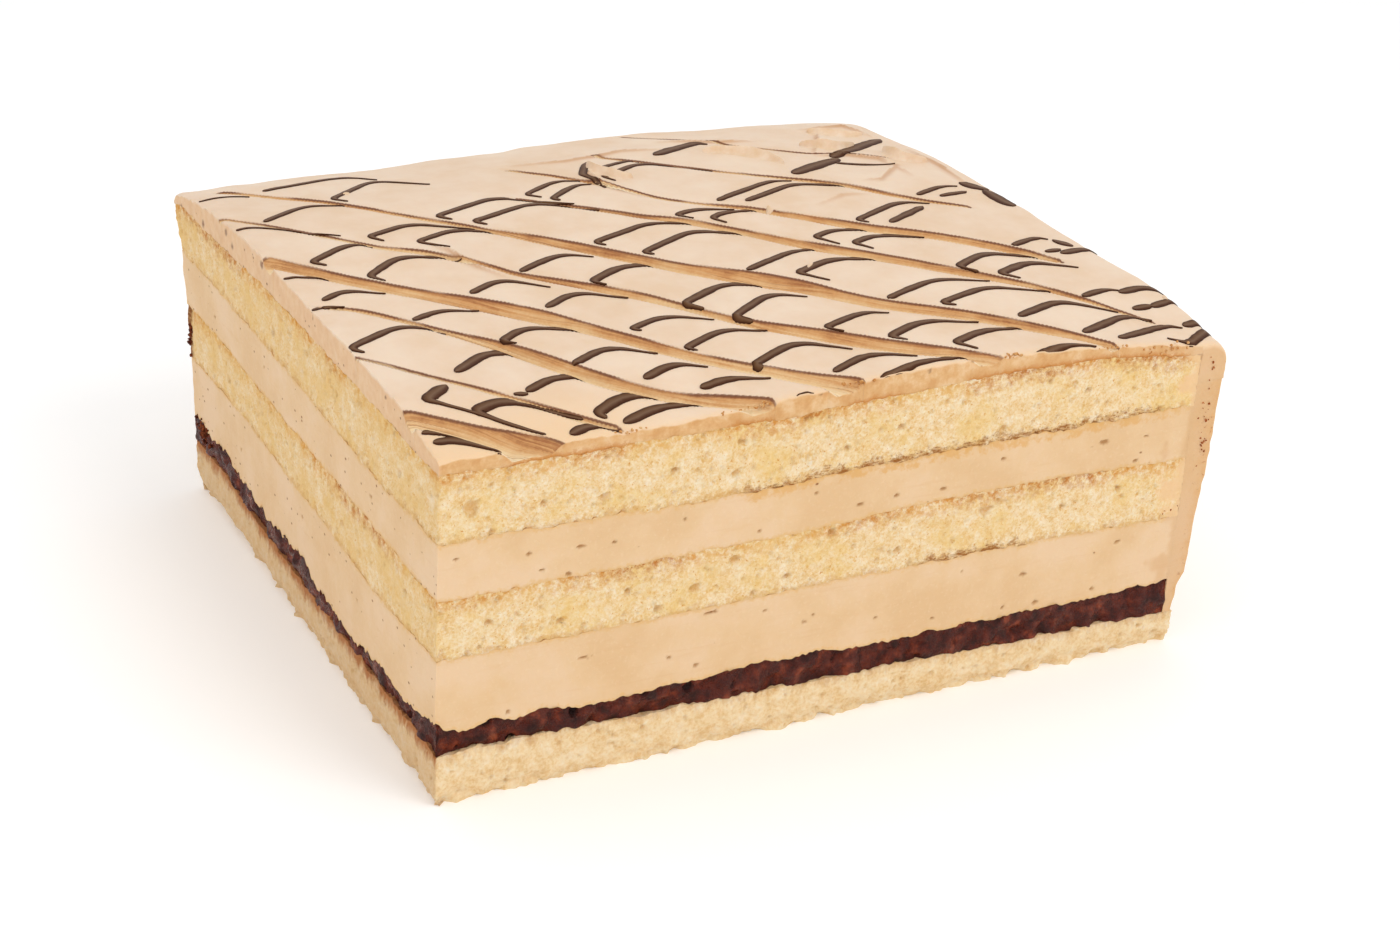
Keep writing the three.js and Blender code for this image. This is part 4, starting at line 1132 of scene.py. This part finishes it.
def pits_of(places, on_face, axis):
    """How deep the named pits of one sawn edge go at each place; this only drives their painted shade, the
    mesh isn't dented.
    """
    sunk = np.zeros(len(places))
    for at, z, radius in EDGE_PITS[axis]:
        reach = np.hypot(places[:, axis] - at, places[:, 2] - z) / radius
        sunk = np.maximum(sunk, np.clip(1.2 - reach, 0, 1))
    return sunk * on_face


def stations(length, cells, split=None):
    """Places of the top's grid lines: even, then closer round the shoulder. With split, two lines
    stand on both sides of that place."""
    even = np.linspace(0, length - SHOULDER_WIDTH, cells - SHOULDER_CELLS + 1)
    if split:
        i = np.argmin(np.abs(even - split))
        even[i - 1:i + 1] = split - SPLIT_GAP, split + SPLIT_GAP
    bend = np.sin(np.linspace(0, math.pi / 2, SHOULDER_CELLS + 1)[1:])
    return np.concatenate([even, length - SHOULDER_WIDTH * (1 - bend)])


def coat_reach(z):
    """The length and depth of the coat's outer side at a height, with its spatula marks left out."""
    return np.interp(z, COAT[:, 0], COAT[:, 1]), np.interp(z, COAT[:, 0], COAT[:, 2])


def add_feathered_top(settings):
    columns, rows = TOP_CELLS
    piece = add_grid("feathered_cream", columns, rows)[0]
    make_active(piece)
    bpy.ops.object.mode_set(mode="EDIT")
    bpy.ops.mesh.select_all(action="SELECT")
    bpy.ops.mesh.region_to_loop()
    for _ in range(SIDE_ROWS):
        bpy.ops.mesh.extrude_region_move(TRANSFORM_OT_translate={"value": (0, 0, -1)})
    bpy.ops.object.mode_set(mode="OBJECT")
    start = coordinates(piece)
    column = np.rint((start[:, 0] + 1) / 2 * columns).astype(int)
    row = np.rint((start[:, 1] + 1) / 2 * rows).astype(int)
    level = np.rint(-start[:, 2])
    x = stations(TOP_LENGTH, columns, FILLED_LENGTH)[column]
    y = stations(TOP_DEPTH, rows)[row]
    dx, dy = past_bend(x, y)
    pull = np.maximum(dx, dy) / np.maximum(np.hypot(dx, dy), 1e-9)
    x, y = np.where(dx * dy > 0, x - dx + dx * pull, x), np.where(dx * dy > 0, y - dy + dy * pull, y)
    z, gap, side, width, along = top_surface(x, y, settings)
    bottom = np.where(x <= FILLED_LENGTH, boundary("stack_top", np.minimum(x, FILLED_LENGTH),
                                                   np.minimum(y, BOUNDARIES["stack_top"]["back"])), COAT_SEAM)
    z = np.maximum(z, bottom + LEAST_SIDE)
    z = lerp(z, bottom, level / SIDE_ROWS)
    length, depth = coat_reach(z)
    outer_x, outer_y = column == columns, row == rows
    draw_in = (level > 0) & (outer_x | outer_y)
    x = np.where(draw_in, x * length / TOP_LENGTH, x)
    y = np.where(draw_in, y * np.where(outer_y | (y > TOP_DEPTH - OUTER_CORNER), depth / TOP_DEPTH, 1), y)
    places = np.stack([x, y, z], -1)
    knife = (level > 0) & ~draw_in
    wander = sway(places) + 0.1 * noise(places, 1.2, 512)
    places[:, 1] -= np.where(knife & (row == 0), wander, 0)
    places[:, 0] -= np.where(knife & (column == 0), wander, 0)
    set_places(piece, places)
    bare = places[:, 2] - bottom
    on_right, on_left = knife & (row == 0), knife & (column == 0)
    fringe = on_right * windows(x, FRINGES) * np.exp(-np.maximum(bare, 0) / 1.3)
    sunk = pits_of(places, on_right, 0) + pits_of(places, on_left, 1)
    slope = bell(places[:, 1], 0, 14) * (1 - smoothstep(places[:, 0], 30, 70))
    slope = np.maximum(slope, 0.8 * np.exp(-places[:, 1] / 1.2))
    # The last value is the painted shade at the foot of the creases' steep sides.
    for key, value in dict(stroke_gap=gap, stroke_side=side, stroke_width=width, stroke_along=along,
                           cut=np.where(knife, 1, 0), slope=slope, outer=smoothstep(places[:, 0], 186, 197),
                           coated=draw_in * smoothstep(level, 0, 3), left=np.where(on_left, 1, 0),
                           fringe=fringe, sunk=sunk, crease_shade=creased(x, y)[1]).items():
        store(piece, key, value)
    close_ends(piece)
    return piece


COAT_STEPS = dict(front=16, side=240, arc=20, inner=12)
COAT_ROWS = 108


def add_coat():
    """The cream spread over the outer right side, with its sawn end on the right cut face."""
    share = np.linspace(0, 1, COAT_ROWS + 1)[:, None]
    front = np.linspace(0, 1, COAT_STEPS["front"], endpoint=False)
    side = np.linspace(0, 1, COAT_STEPS["side"], endpoint=False)
    most = math.acos((FILLED_LENGTH - TOP_LENGTH + OUTER_CORNER) / OUTER_CORNER)
    arc = np.linspace(0, most, COAT_STEPS["arc"])
    inner = np.linspace(1, 0, COAT_STEPS["inner"] + 2)[1:-1]

    def ring(length, depth):
        straight = depth - OUTER_CORNER
        end = straight + OUTER_CORNER * math.sin(most)
        return np.concatenate([
            np.stack([lerp(FILLED_LENGTH, length, front), 0 * front], -1),
            np.stack([length + 0 * side, straight * side], -1),
            np.stack([length - OUTER_CORNER * (1 - np.cos(arc)), straight + OUTER_CORNER * np.sin(arc)], -1),
            np.stack([FILLED_LENGTH + 0 * inner, end * inner], -1),
        ])

    low = ring(*coat_reach(COAT[0, 0]))
    low_z = boundary("base_top", np.full(len(low), FILLED_LENGTH), low[:, 1])
    z = lerp(low_z, COAT_SEAM, share)
    flat = np.stack([ring(*coat_reach(height)) for height in lerp(COAT[0, 0], COAT_SEAM, share[:, 0])])
    rings = np.concatenate([flat, z[..., None]], -1)
    counts = list(COAT_STEPS.values())
    out = np.concatenate([
        np.tile((0.0, -1.0), (counts[0], 1)), np.tile((1.0, 0.0), (counts[1], 1)),
        np.stack([np.cos(arc), np.sin(arc)], -1), np.zeros((counts[3], 2)),
    ])
    in_front = np.arange(len(low)) < counts[0]
    marks = 0.4 * noise(rings * (1, 0.35, 1), 7, 601) + 0.3 * noise(rings, 2.2, 603)
    pits = bubbles(rings, 3.5, 0.35, (0.2, 0.9), 602)
    fade = 1 - smoothstep(z, COAT_SEAM - 4, COAT_SEAM)
    amount = np.where(in_front, sway(rings), (marks - 0.6 * pits) * fade)
    outer = np.where(in_front, np.concatenate([front, np.ones(len(low) - counts[0])]), 1)
    sunk = np.where(in_front, 0, pits * fade)
    piece = roll_up("side_cream", push(rings, out, amount), sunk=sunk, outer=outer)
    close_ends(piece)
    return piece


# The chocolate lines' cross-section and ends.
LINE_SAMPLES = 56
LINE_PROFILE = np.array([-1, -0.86, -0.5, 0, 0.5, 0.86, 1])
LINE_SHARE = 0.88  # the measured widths take in the soft edge, which the icing itself doesn't fill
BLUNT_LENGTH = 0.8  # how long a blunt end takes to reach its full width, in widths
THIN_LENGTH = 0.2
LINE_SUNK = 0.5
LINE_LIFT = 0.12
THIN_LIFT = 0.22  # thin ends lie a little higher, so that the cream beside them doesn't cover them
THIN_HALF = 0.45


def rounded_way(points, rounds, samples):
    """A way through the points whose inner corners are rounded: evenly spaced places, and how far
    along the way each given point lies, as a share."""
    way, marks = [points[0]], [0]
    for before, corner, after, most in zip(points, points[1:], points[2:], rounds):
        reach = [min(most, 0.48 * np.linalg.norm(end - corner)) for end in (before, after)]
        start, stop = (corner + r * (end - corner) / np.linalg.norm(end - corner)
                       for r, end in zip(reach, (before, after)))
        for t in np.linspace(0, 1, 9):
            way.append((1 - t) ** 2 * start + 2 * t * (1 - t) * corner + t * t * stop)
        marks.append(len(way) - 5)
    way.append(points[-1])
    marks.append(len(way) - 1)
    way = np.array(way)
    passed = np.concatenate([[0], np.cumsum(np.linalg.norm(np.diff(way, axis=0), axis=1))])
    even = np.linspace(0, passed[-1], samples)
    places = np.stack([np.interp(even, passed, way[:, axis]) for axis in range(2)], -1)
    return places, passed[marks] / passed[-1], passed[-1]


def line_rings(number, width, hook, tip, bend, tail, settings):
    """The cross-sections of one chocolate line."""
    if hook and math.dist(hook, tip) < LONG_HOOK:
        run = (hook[0] - tip[0] - hook[1] + tip[1]) / 2
        slant = HOOK_SLANT * (hook[0] - tip[0] + hook[1] - tip[1]) / 2
        hook = tip[0] + run + slant, tip[1] - run + slant
    named = [(hook, None), (tip, TIP_ROUND), (bend, BEND_ROUND), (tail, None)]
    named = [one for one in named if one[0]]
    points = [np.array(place, float) for place, _ in named]
    places, marks, length = rounded_way(points, [most for _, most in named[1:-1]], LINE_SAMPLES)
    share = np.linspace(0, 1, LINE_SAMPLES)
    before_tip = np.maximum((marks[1] if hook else 0) - share, 0) * length
    in_tail = np.maximum(share - marks[-2], 0) / (1 - marks[-2]) if tail else 0 * share
    swollen = 1 + 0.16 * bell(share, (marks[1 if hook else 0] + marks[-2 if tail else -1]) / 2, 0.22)
    half = width / 2 * LINE_SHARE * swollen * lerp(HOOK_SHARE, 1, np.exp(-before_tip / HOOK_FADE))
    half = half * lerp(TAIL_SHARE, 1, (1 - in_tail) ** TAIL_POWER)
    for place, blunt in ((share, not hook), (1 - share, not tail)):
        near_end = np.clip(place * length / (width * (BLUNT_LENGTH if blunt else THIN_LENGTH)), 0, 1)
        half = half * np.sqrt(np.maximum(1 - (1 - near_end) ** 2, 0.02))
    half = half * (1 + 0.08 * noise(places, 1.6, 710 + number))
    ahead = np.gradient(places, axis=0)
    ahead = ahead / np.linalg.norm(ahead, axis=1)[:, None]
    aside = np.stack([-ahead[:, 1], ahead[:, 0]], -1)
    flat = places[:, None] + aside[:, None] * (half[:, None] * LINE_PROFILE)[..., None]
    x, y = flat[..., 0], flat[..., 1]
    surface = surface_at(x, y, settings)
    crown = np.sqrt(np.maximum(1 - LINE_PROFILE ** 2, 0)) * np.sqrt(np.minimum(half / 1.2, 1.6))[:, None]
    crown = crown * (1 + 0.25 * noise(flat, 2.2, 720))
    lift = LINE_LIFT + THIN_LIFT * np.exp(-half / THIN_HALF)[:, None]
    above = np.stack([x, y, surface + settings.line_rise / MM * crown + lift], -1)
    under = np.stack([x, y, surface - LINE_SUNK], -1)[:, [5, 3, 1]]
    return np.concatenate([above, under], 1)


def join(pieces, name):
    deselect()
    for bit in pieces:
        bit.select_set(True)
    bpy.context.view_layer.objects.active = pieces[0]
    bpy.ops.object.join()
    piece = bpy.context.object
    piece.name = piece.data.name = name
    return piece


# Where the cake's faces cut the lines: axis, place and way out.
TRIMS = ((0, 0.02, -1), (1, 0.02, -1), (0, TOP_LENGTH - 0.4, 1), (1, TOP_DEPTH - 0.6, 1))


def trim(piece):
    """Cuts what lies on the cream flush with the cake's faces."""
    make_active(piece)
    bpy.ops.object.mode_set(mode="EDIT")
    bpy.ops.mesh.select_all(action="SELECT")
    bpy.ops.mesh.fill_holes(sides=0)
    for axis, limit, way in TRIMS:
        normal, place = [0, 0, 0], [0, 0, 0]
        normal[axis] = way
        place[axis] = (limit + SHIFT[axis]) * MM
        bpy.ops.mesh.select_all(action="SELECT")
        bpy.ops.mesh.bisect(plane_co=place, plane_no=normal, use_fill=True, clear_outer=True, threshold=1e-7)
    bpy.ops.mesh.select_all(action="SELECT")
    bpy.ops.mesh.normals_make_consistent(inside=False)
    bpy.ops.object.mode_set(mode="OBJECT")


def add_chocolate_lines(settings):
    """The combed chocolate lines, each a ribbon that thins out into its hook and its tail."""
    values = np.concatenate([LINE_PROFILE, [0.9, 0, -0.9]])  # over the icing and back under it
    ribbons = [roll_up("chocolate_lines", line_rings(number, *bar, settings), share=values)
               for number, bar in enumerate(BARS)]
    piece = join(ribbons, "chocolate_lines")
    trim(piece)
    return piece


# Curls and flecks that the comb and the spatula left standing in the cream, by their middle, length,
# width, turn in degrees, how far they bend and how high they stand.
CURLS = [
    dict(x=104, y=140, length=15, width=4, turn=-60, bend=0.2, rise=2.6),
    dict(x=148, y=143, length=24, width=5, turn=-50, bend=-0.15, rise=2.2),
    dict(x=176, y=146, length=16, width=4.5, turn=-15, bend=0.25, rise=2.4),
    dict(x=190, y=131, length=15, width=4.5, turn=-65, bend=0.25, rise=2.6),
    dict(x=186, y=160, length=16, width=5, turn=-30, bend=0.1, rise=1.8),
    dict(x=122, y=61.5, length=3.4, width=2, turn=40, bend=0, rise=0.8),
    dict(x=36, y=151.5, length=2.2, width=1.2, turn=20, bend=0, rise=0.6),
    dict(x=132, y=101, length=3, width=1.6, turn=60, bend=0.2, rise=0.9),
    dict(x=200, y=22, length=2.6, width=1.6, turn=80, bend=0, rise=0.7),
]
DROP_ROWS = 40
DROP_SIDES = 24


def add_drops(name, specs, settings):
    """Long drops of cream, each with a sharp crest along one side."""
    made = []
    for number, spec in enumerate(specs):
        share = np.linspace(-0.995, 0.995, DROP_ROWS)[:, None]
        angle = np.linspace(0, 2 * math.pi, DROP_SIDES, endpoint=False)
        body = np.sqrt(1 - share ** 2) * (1 - 0.25 * share)
        body = body * (1 + 0.18 * noise(share * 3 + number * 9, 0.8, 801)[:, None])
        sideways = np.cos(angle) * body * spec["width"] / 2
        lengthways = share * spec["length"] / 2
        bowed = spec["bend"] * spec["length"] * (share ** 2 - 0.4)
        turn = math.radians(spec["turn"])
        x = spec["x"] + lengthways * math.cos(turn) - (sideways + bowed) * math.sin(turn)
        y = spec["y"] + lengthways * math.sin(turn) + (sideways + bowed) * math.cos(turn)
        surface = surface_at(x, y, settings)
        crown = np.sin(angle)
        crown = np.where(crown > 0, crown * bell(np.cos(angle), 0.35, 0.55), crown)
        high = np.where(crown > 0, spec["rise"] * crown * np.sqrt(body), 0.6 * crown)
        made.append(roll_up(name, np.stack([x, y, surface + high], -1)))
    piece = join(made, name)
    close_ends(piece)
    return piece


# Crumbs: how many lie round each place, how far they spread along each axis, their radii and sort.
CRUMBS = [
    dict(count=14, at=(44, 0.2, 84), spread=(3, 0.5, 0.6), radii=(0.15, 0.4), sort="golden"),
    dict(count=10, at=(68, 0.2, 84.5), spread=(4, 0.4, 0.6), radii=(0.15, 0.4), sort="golden"),
    dict(count=14, at=(75, 0.3, 85), spread=(2.5, 0.6, 0.5), radii=(0.18, 0.45), sort="golden"),
    dict(count=26, at=(101, 0.4, 86.5), spread=(4, 0.8, 0.5), radii=(0.2, 0.5), sort="golden"),
    dict(count=20, at=(140, 0.3, 87), spread=(3, 0.6, 0.5), radii=(0.18, 0.45), sort="golden"),
    dict(count=12, at=(168, 0.1, 85), spread=(5, 0.3, 0.6), radii=(0.18, 0.45), sort="golden"),
    dict(count=14, at=(183, 0, 82.6), spread=(9, 0.2, 1), radii=(0.15, 0.4), sort="golden"),
    dict(count=40, at=(0, 163, 19), spread=(0.4, 4, 3), radii=(0.3, 0.8), sort="cocoa"),
    dict(count=26, at=(0, 171.5, 43), spread=(0.4, 1.5, 5), radii=(0.3, 0.7), sort="cocoa"),
    dict(count=34, at=(199, 0, 62), spread=(1.8, 0.3, 15), radii=(0.12, 0.34), sort="rusty"),
    dict(count=8, at=(192, 0, 38), spread=(3, 0.3, 1), radii=(0.12, 0.3), sort="rusty"),
]
CRUMB_POINTS = 42


def add_crumbs(name, sort, seed):
    chosen = [spec for spec in CRUMBS if spec["sort"] == sort]
    draws = np.random.default_rng(seed)
    middles, radii = [], []
    for spec in chosen:
        middles.append(np.array(spec["at"]) + draws.normal(0, 0.5, (spec["count"], 3)) * spec["spread"])
        radii.append(draws.uniform(*spec["radii"], spec["count"]))
    middles, radii = np.concatenate(middles), np.concatenate(radii)
    deselect()
    bpy.ops.mesh.primitive_ico_sphere_add(subdivisions=2, radius=1)
    piece = bpy.context.object
    piece.name = piece.data.name = name
    bpy.ops.object.mode_set(mode="EDIT")
    for _ in middles[1:]:
        bpy.ops.mesh.primitive_ico_sphere_add(subdivisions=2, radius=1)
    bpy.ops.object.mode_set(mode="OBJECT")
    unit = coordinates(piece).reshape(len(middles), CRUMB_POINTS, 3)
    places = middles[:, None] + unit * radii[:, None, None] * draws.uniform(0.6, 1.2, (len(middles), 1, 3))
    places = places + unit * radii[:, None, None] * 0.45 * noise(places, 0.45, seed)[..., None]
    set_places(piece, places.reshape(-1, 3))
    return piece


def crumb_material(name, dark, middle, light):
    """Loose baked crumbs: dry, matte and rough."""
    material, add, shader, place = new_material(name, Roughness=0.9, Specular_IOR_Level=0.15)
    colour = add("ramp", add("grains", place, 0.8), (0.35, dark), (0.5, middle), (0.65, light))
    finish_shader(add, shader, colour, add("grains", place, 3.0), 0.2)
    return material


# ---- The studio, in millimetres and degrees --------------------------------------------------------

CAMERA = dict(azimuth=-28.89, elevation=25.86, roll=3.609, distance=627.7, target=(90.6, 53.9, 43.0),
              focal=66.38, sensor=36)
LIGHTS = [
    dict(name="key", place=(330, -780, 1015), size=580, power=3.75, colour="#fffefb"),
    dict(name="fill", place=(-520, -200, 380), size=500, power=0.3, colour="#f8f8ff"),
    dict(name="top", place=(40, 180, 700), size=600, power=0.4, colour="#ffffff"),
]
FLOOR_SIZE = 6000
FLOOR_GLOW = 0.085  # the white surface is lit from below, so that shadows on it stay faint
SKY_STRENGTH = 0.81
CLIP = (0.05, 20)  # in metres

# ---- What a user can change --------------------------------------------------------------------------


class CakeSettings(bpy.types.PropertyGroup):
    groove_depth_share: FloatProperty(
        name="Groove depth", description="Depth of a comb stroke as a share of its width",
        default=0.3, min=0, max=0.6, subtype="FACTOR")
    line_rise: FloatProperty(
        name="Line height", description="How far a chocolate line stands over the cream",
        default=0.16 * MM, min=0, unit="LENGTH", subtype="DISTANCE")
    pore_depth: FloatProperty(
        name="Pore depth", description="How deep a bubble of one unit radius opens in the crumb",
        default=0.9 * MM, min=0, unit="LENGTH", subtype="DISTANCE")
    floor_colour: FloatVectorProperty(
        name="Floor", description="Colour of the floor under the cake",
        default=srgb("#ffffff")[:3], min=0, max=1, subtype="COLOR")


# ---- Operators ---------------------------------------------------------------------------------------


class CAKE_OT_sponges(bpy.types.Operator):
    """Build the two sawn sponge layers and the soaked base"""
    bl_idname = "cake.sponges"
    bl_label = "Sponges"

    def execute(self, context):
        settings = context.scene.cake
        sponge = sponge_material()
        top = add_sponge("upper_sponge", "middle_top", "stack_top", -0.9, 101, settings)
        finish_piece(top, sponge, "top_sponge")
        middle = add_sponge("inner_sponge", "cream_top", "sponge_top", -0.8, 151, settings)
        finish_piece(middle, sponge, "middle_sponge")
        finish_piece(add_base(), base_material(), "base_sponge")
        return {"FINISHED"}


class CAKE_OT_creams(bpy.types.Operator):
    """Build the two layers of coffee cream"""
    bl_idname = "cake.creams"
    bl_label = "Cream layers"

    def execute(self, context):
        cream = cream_material()
        low = add_cream("thick_cream", "filling_top", "cream_top", 2.4, 201)
        finish_piece(low, cream, "lower_cream")
        high = add_cream("thin_cream", "sponge_top", "middle_top", 3.8, 251)
        finish_piece(high, cream, "middle_cream")
        return {"FINISHED"}


class CAKE_OT_filling(bpy.types.Operator):
    """Build the dark fruit filling"""
    bl_idname = "cake.filling"
    bl_label = "Fruit filling"

    def execute(self, context):
        finish_piece(add_filling(), filling_material(), "dark_filling")
        return {"FINISHED"}


class CAKE_OT_top(bpy.types.Operator):
    """Build the combed cream top and the cream on the outer side"""
    bl_idname = "cake.top"
    bl_label = "Cream top and side"

    def execute(self, context):
        settings = context.scene.cake
        cream = feathered_material()
        finish_piece(add_feathered_top(settings), cream, "top_cream", angle=50)
        finish_piece(add_coat(), coat_material(), "top_cream")
        curls = add_drops("cream_curls", CURLS, settings)
        finish_piece(curls, curl_material(), "top_cream")
        return {"FINISHED"}


class CAKE_OT_lines(bpy.types.Operator):
    """Lay the combed chocolate lines on the cream"""
    bl_idname = "cake.lines"
    bl_label = "Chocolate lines"

    def execute(self, context):
        lines = add_chocolate_lines(context.scene.cake)
        finish_piece(lines, chocolate_material(), "top_cream")
        return {"FINISHED"}


class CAKE_OT_crumbs(bpy.types.Operator):
    """Scatter the golden, cocoa and rusty crumbs that the knife tore loose"""
    bl_idname = "cake.crumbs"
    bl_label = "Crumbs"

    def execute(self, context):
        golden = crumb_material("golden_crumb", "#b06c34", "#cf9558", "#e3bd8a")
        finish_piece(add_crumbs("golden_crumbs", "golden", 901), golden, "top_cream")
        cocoa = crumb_material("cocoa_crumb", "#3c170c", "#6b3018", "#93502c")
        finish_piece(add_crumbs("cocoa_crumbs", "cocoa", 902), cocoa, "dark_filling")
        rusty = crumb_material("baked_crumb", "#8a4420", "#a4582c", "#bf7a48")
        finish_piece(add_crumbs("rusty_crumbs", "rusty", 903), rusty, "top_cream")
        return {"FINISHED"}


class CAKE_OT_studio(bpy.types.Operator):
    """Add the camera, the lights and the pale floor"""
    bl_idname = "cake.studio"
    bl_label = "Studio"

    def execute(self, context):
        scene, floor_colour = context.scene, (*context.scene.cake.floor_colour, 1)
        scene.view_settings.view_transform = "Standard"
        azimuth, elevation = math.radians(CAMERA["azimuth"]), math.radians(CAMERA["elevation"])
        level = math.cos(elevation)
        back = Vector((math.sin(azimuth) * level, -math.cos(azimuth) * level, math.sin(elevation)))
        roll = Matrix.Rotation(math.radians(CAMERA["roll"]), 3, "Z")
        turn = back.to_track_quat("Z", "Y").to_matrix() @ roll
        target = Vector((np.array(CAMERA["target"]) + SHIFT) * MM)
        data = bpy.data.cameras.new("camera")
        data.lens, data.sensor_width = CAMERA["focal"], CAMERA["sensor"]
        data.clip_start, data.clip_end = CLIP
        camera = bpy.data.objects.new("camera", data)
        camera.matrix_world = Matrix.Translation(target + back * CAMERA["distance"] * MM) @ turn.to_4x4()
        scene.collection.objects.link(camera)
        scene.camera = camera
        for spec in LIGHTS:
            lamp = bpy.data.lights.new(spec["name"], "AREA")
            lamp.energy, lamp.size = spec["power"], spec["size"] * MM
            lamp.color = srgb(spec["colour"])[:3]
            light = bpy.data.objects.new(spec["name"], lamp)
            light.location = Vector(spec["place"]) * MM
            light.rotation_euler = light.location.to_track_quat("Z", "Y").to_euler()
            scene.collection.objects.link(light)
        world = bpy.data.worlds.new("studio")
        world.use_nodes = True
        background = world.node_tree.nodes["Background"]
        background.inputs["Color"].default_value = srgb("#ffffff")
        background.inputs["Strength"].default_value = SKY_STRENGTH
        scene.world = world
        deselect()
        bpy.ops.mesh.primitive_plane_add(size=FLOOR_SIZE * MM)
        floor = context.object
        floor.name = floor.data.name = "floor"
        material, _, shader, _ = new_material("pale_floor", Roughness=0.6, Specular_IOR_Level=0.2)
        shader.inputs["Base Color"].default_value = floor_colour
        shader.inputs["Emission Color"].default_value = floor_colour
        shader.inputs["Emission Strength"].default_value = FLOOR_GLOW
        floor.data.materials.append(material)
        return {"FINISHED"}


class CAKE_PT_panel(bpy.types.Panel):
    """The cake's pieces and sizes"""
    bl_idname = "CAKE_PT_panel"
    bl_label = "Layered cream cake"
    bl_space_type = "VIEW_3D"
    bl_region_type = "UI"
    bl_category = "Cake"

    def draw(self, context):
        column = self.layout.column(align=True)
        for name in CakeSettings.__annotations__:
            column.prop(context.scene.cake, name)
        for operator in OPERATORS:
            column.operator(operator.bl_idname)


OPERATORS = [CAKE_OT_sponges, CAKE_OT_creams, CAKE_OT_filling, CAKE_OT_top, CAKE_OT_lines, CAKE_OT_crumbs,
             CAKE_OT_studio]
CLASSES = [CakeSettings, *OPERATORS, CAKE_PT_panel]


def register():
    for kind in CLASSES:
        bpy.utils.register_class(kind)
    bpy.types.Scene.cake = PointerProperty(type=CakeSettings)


def unregister():
    del bpy.types.Scene.cake
    for kind in reversed(CLASSES):
        bpy.utils.unregister_class(kind)


def main():
    register()
    bpy.ops.cake.sponges()
    bpy.ops.cake.creams()
    bpy.ops.cake.filling()
    bpy.ops.cake.top()
    bpy.ops.cake.lines()
    bpy.ops.cake.crumbs()
    bpy.ops.cake.studio()


if __name__ == "__main__":
    main()
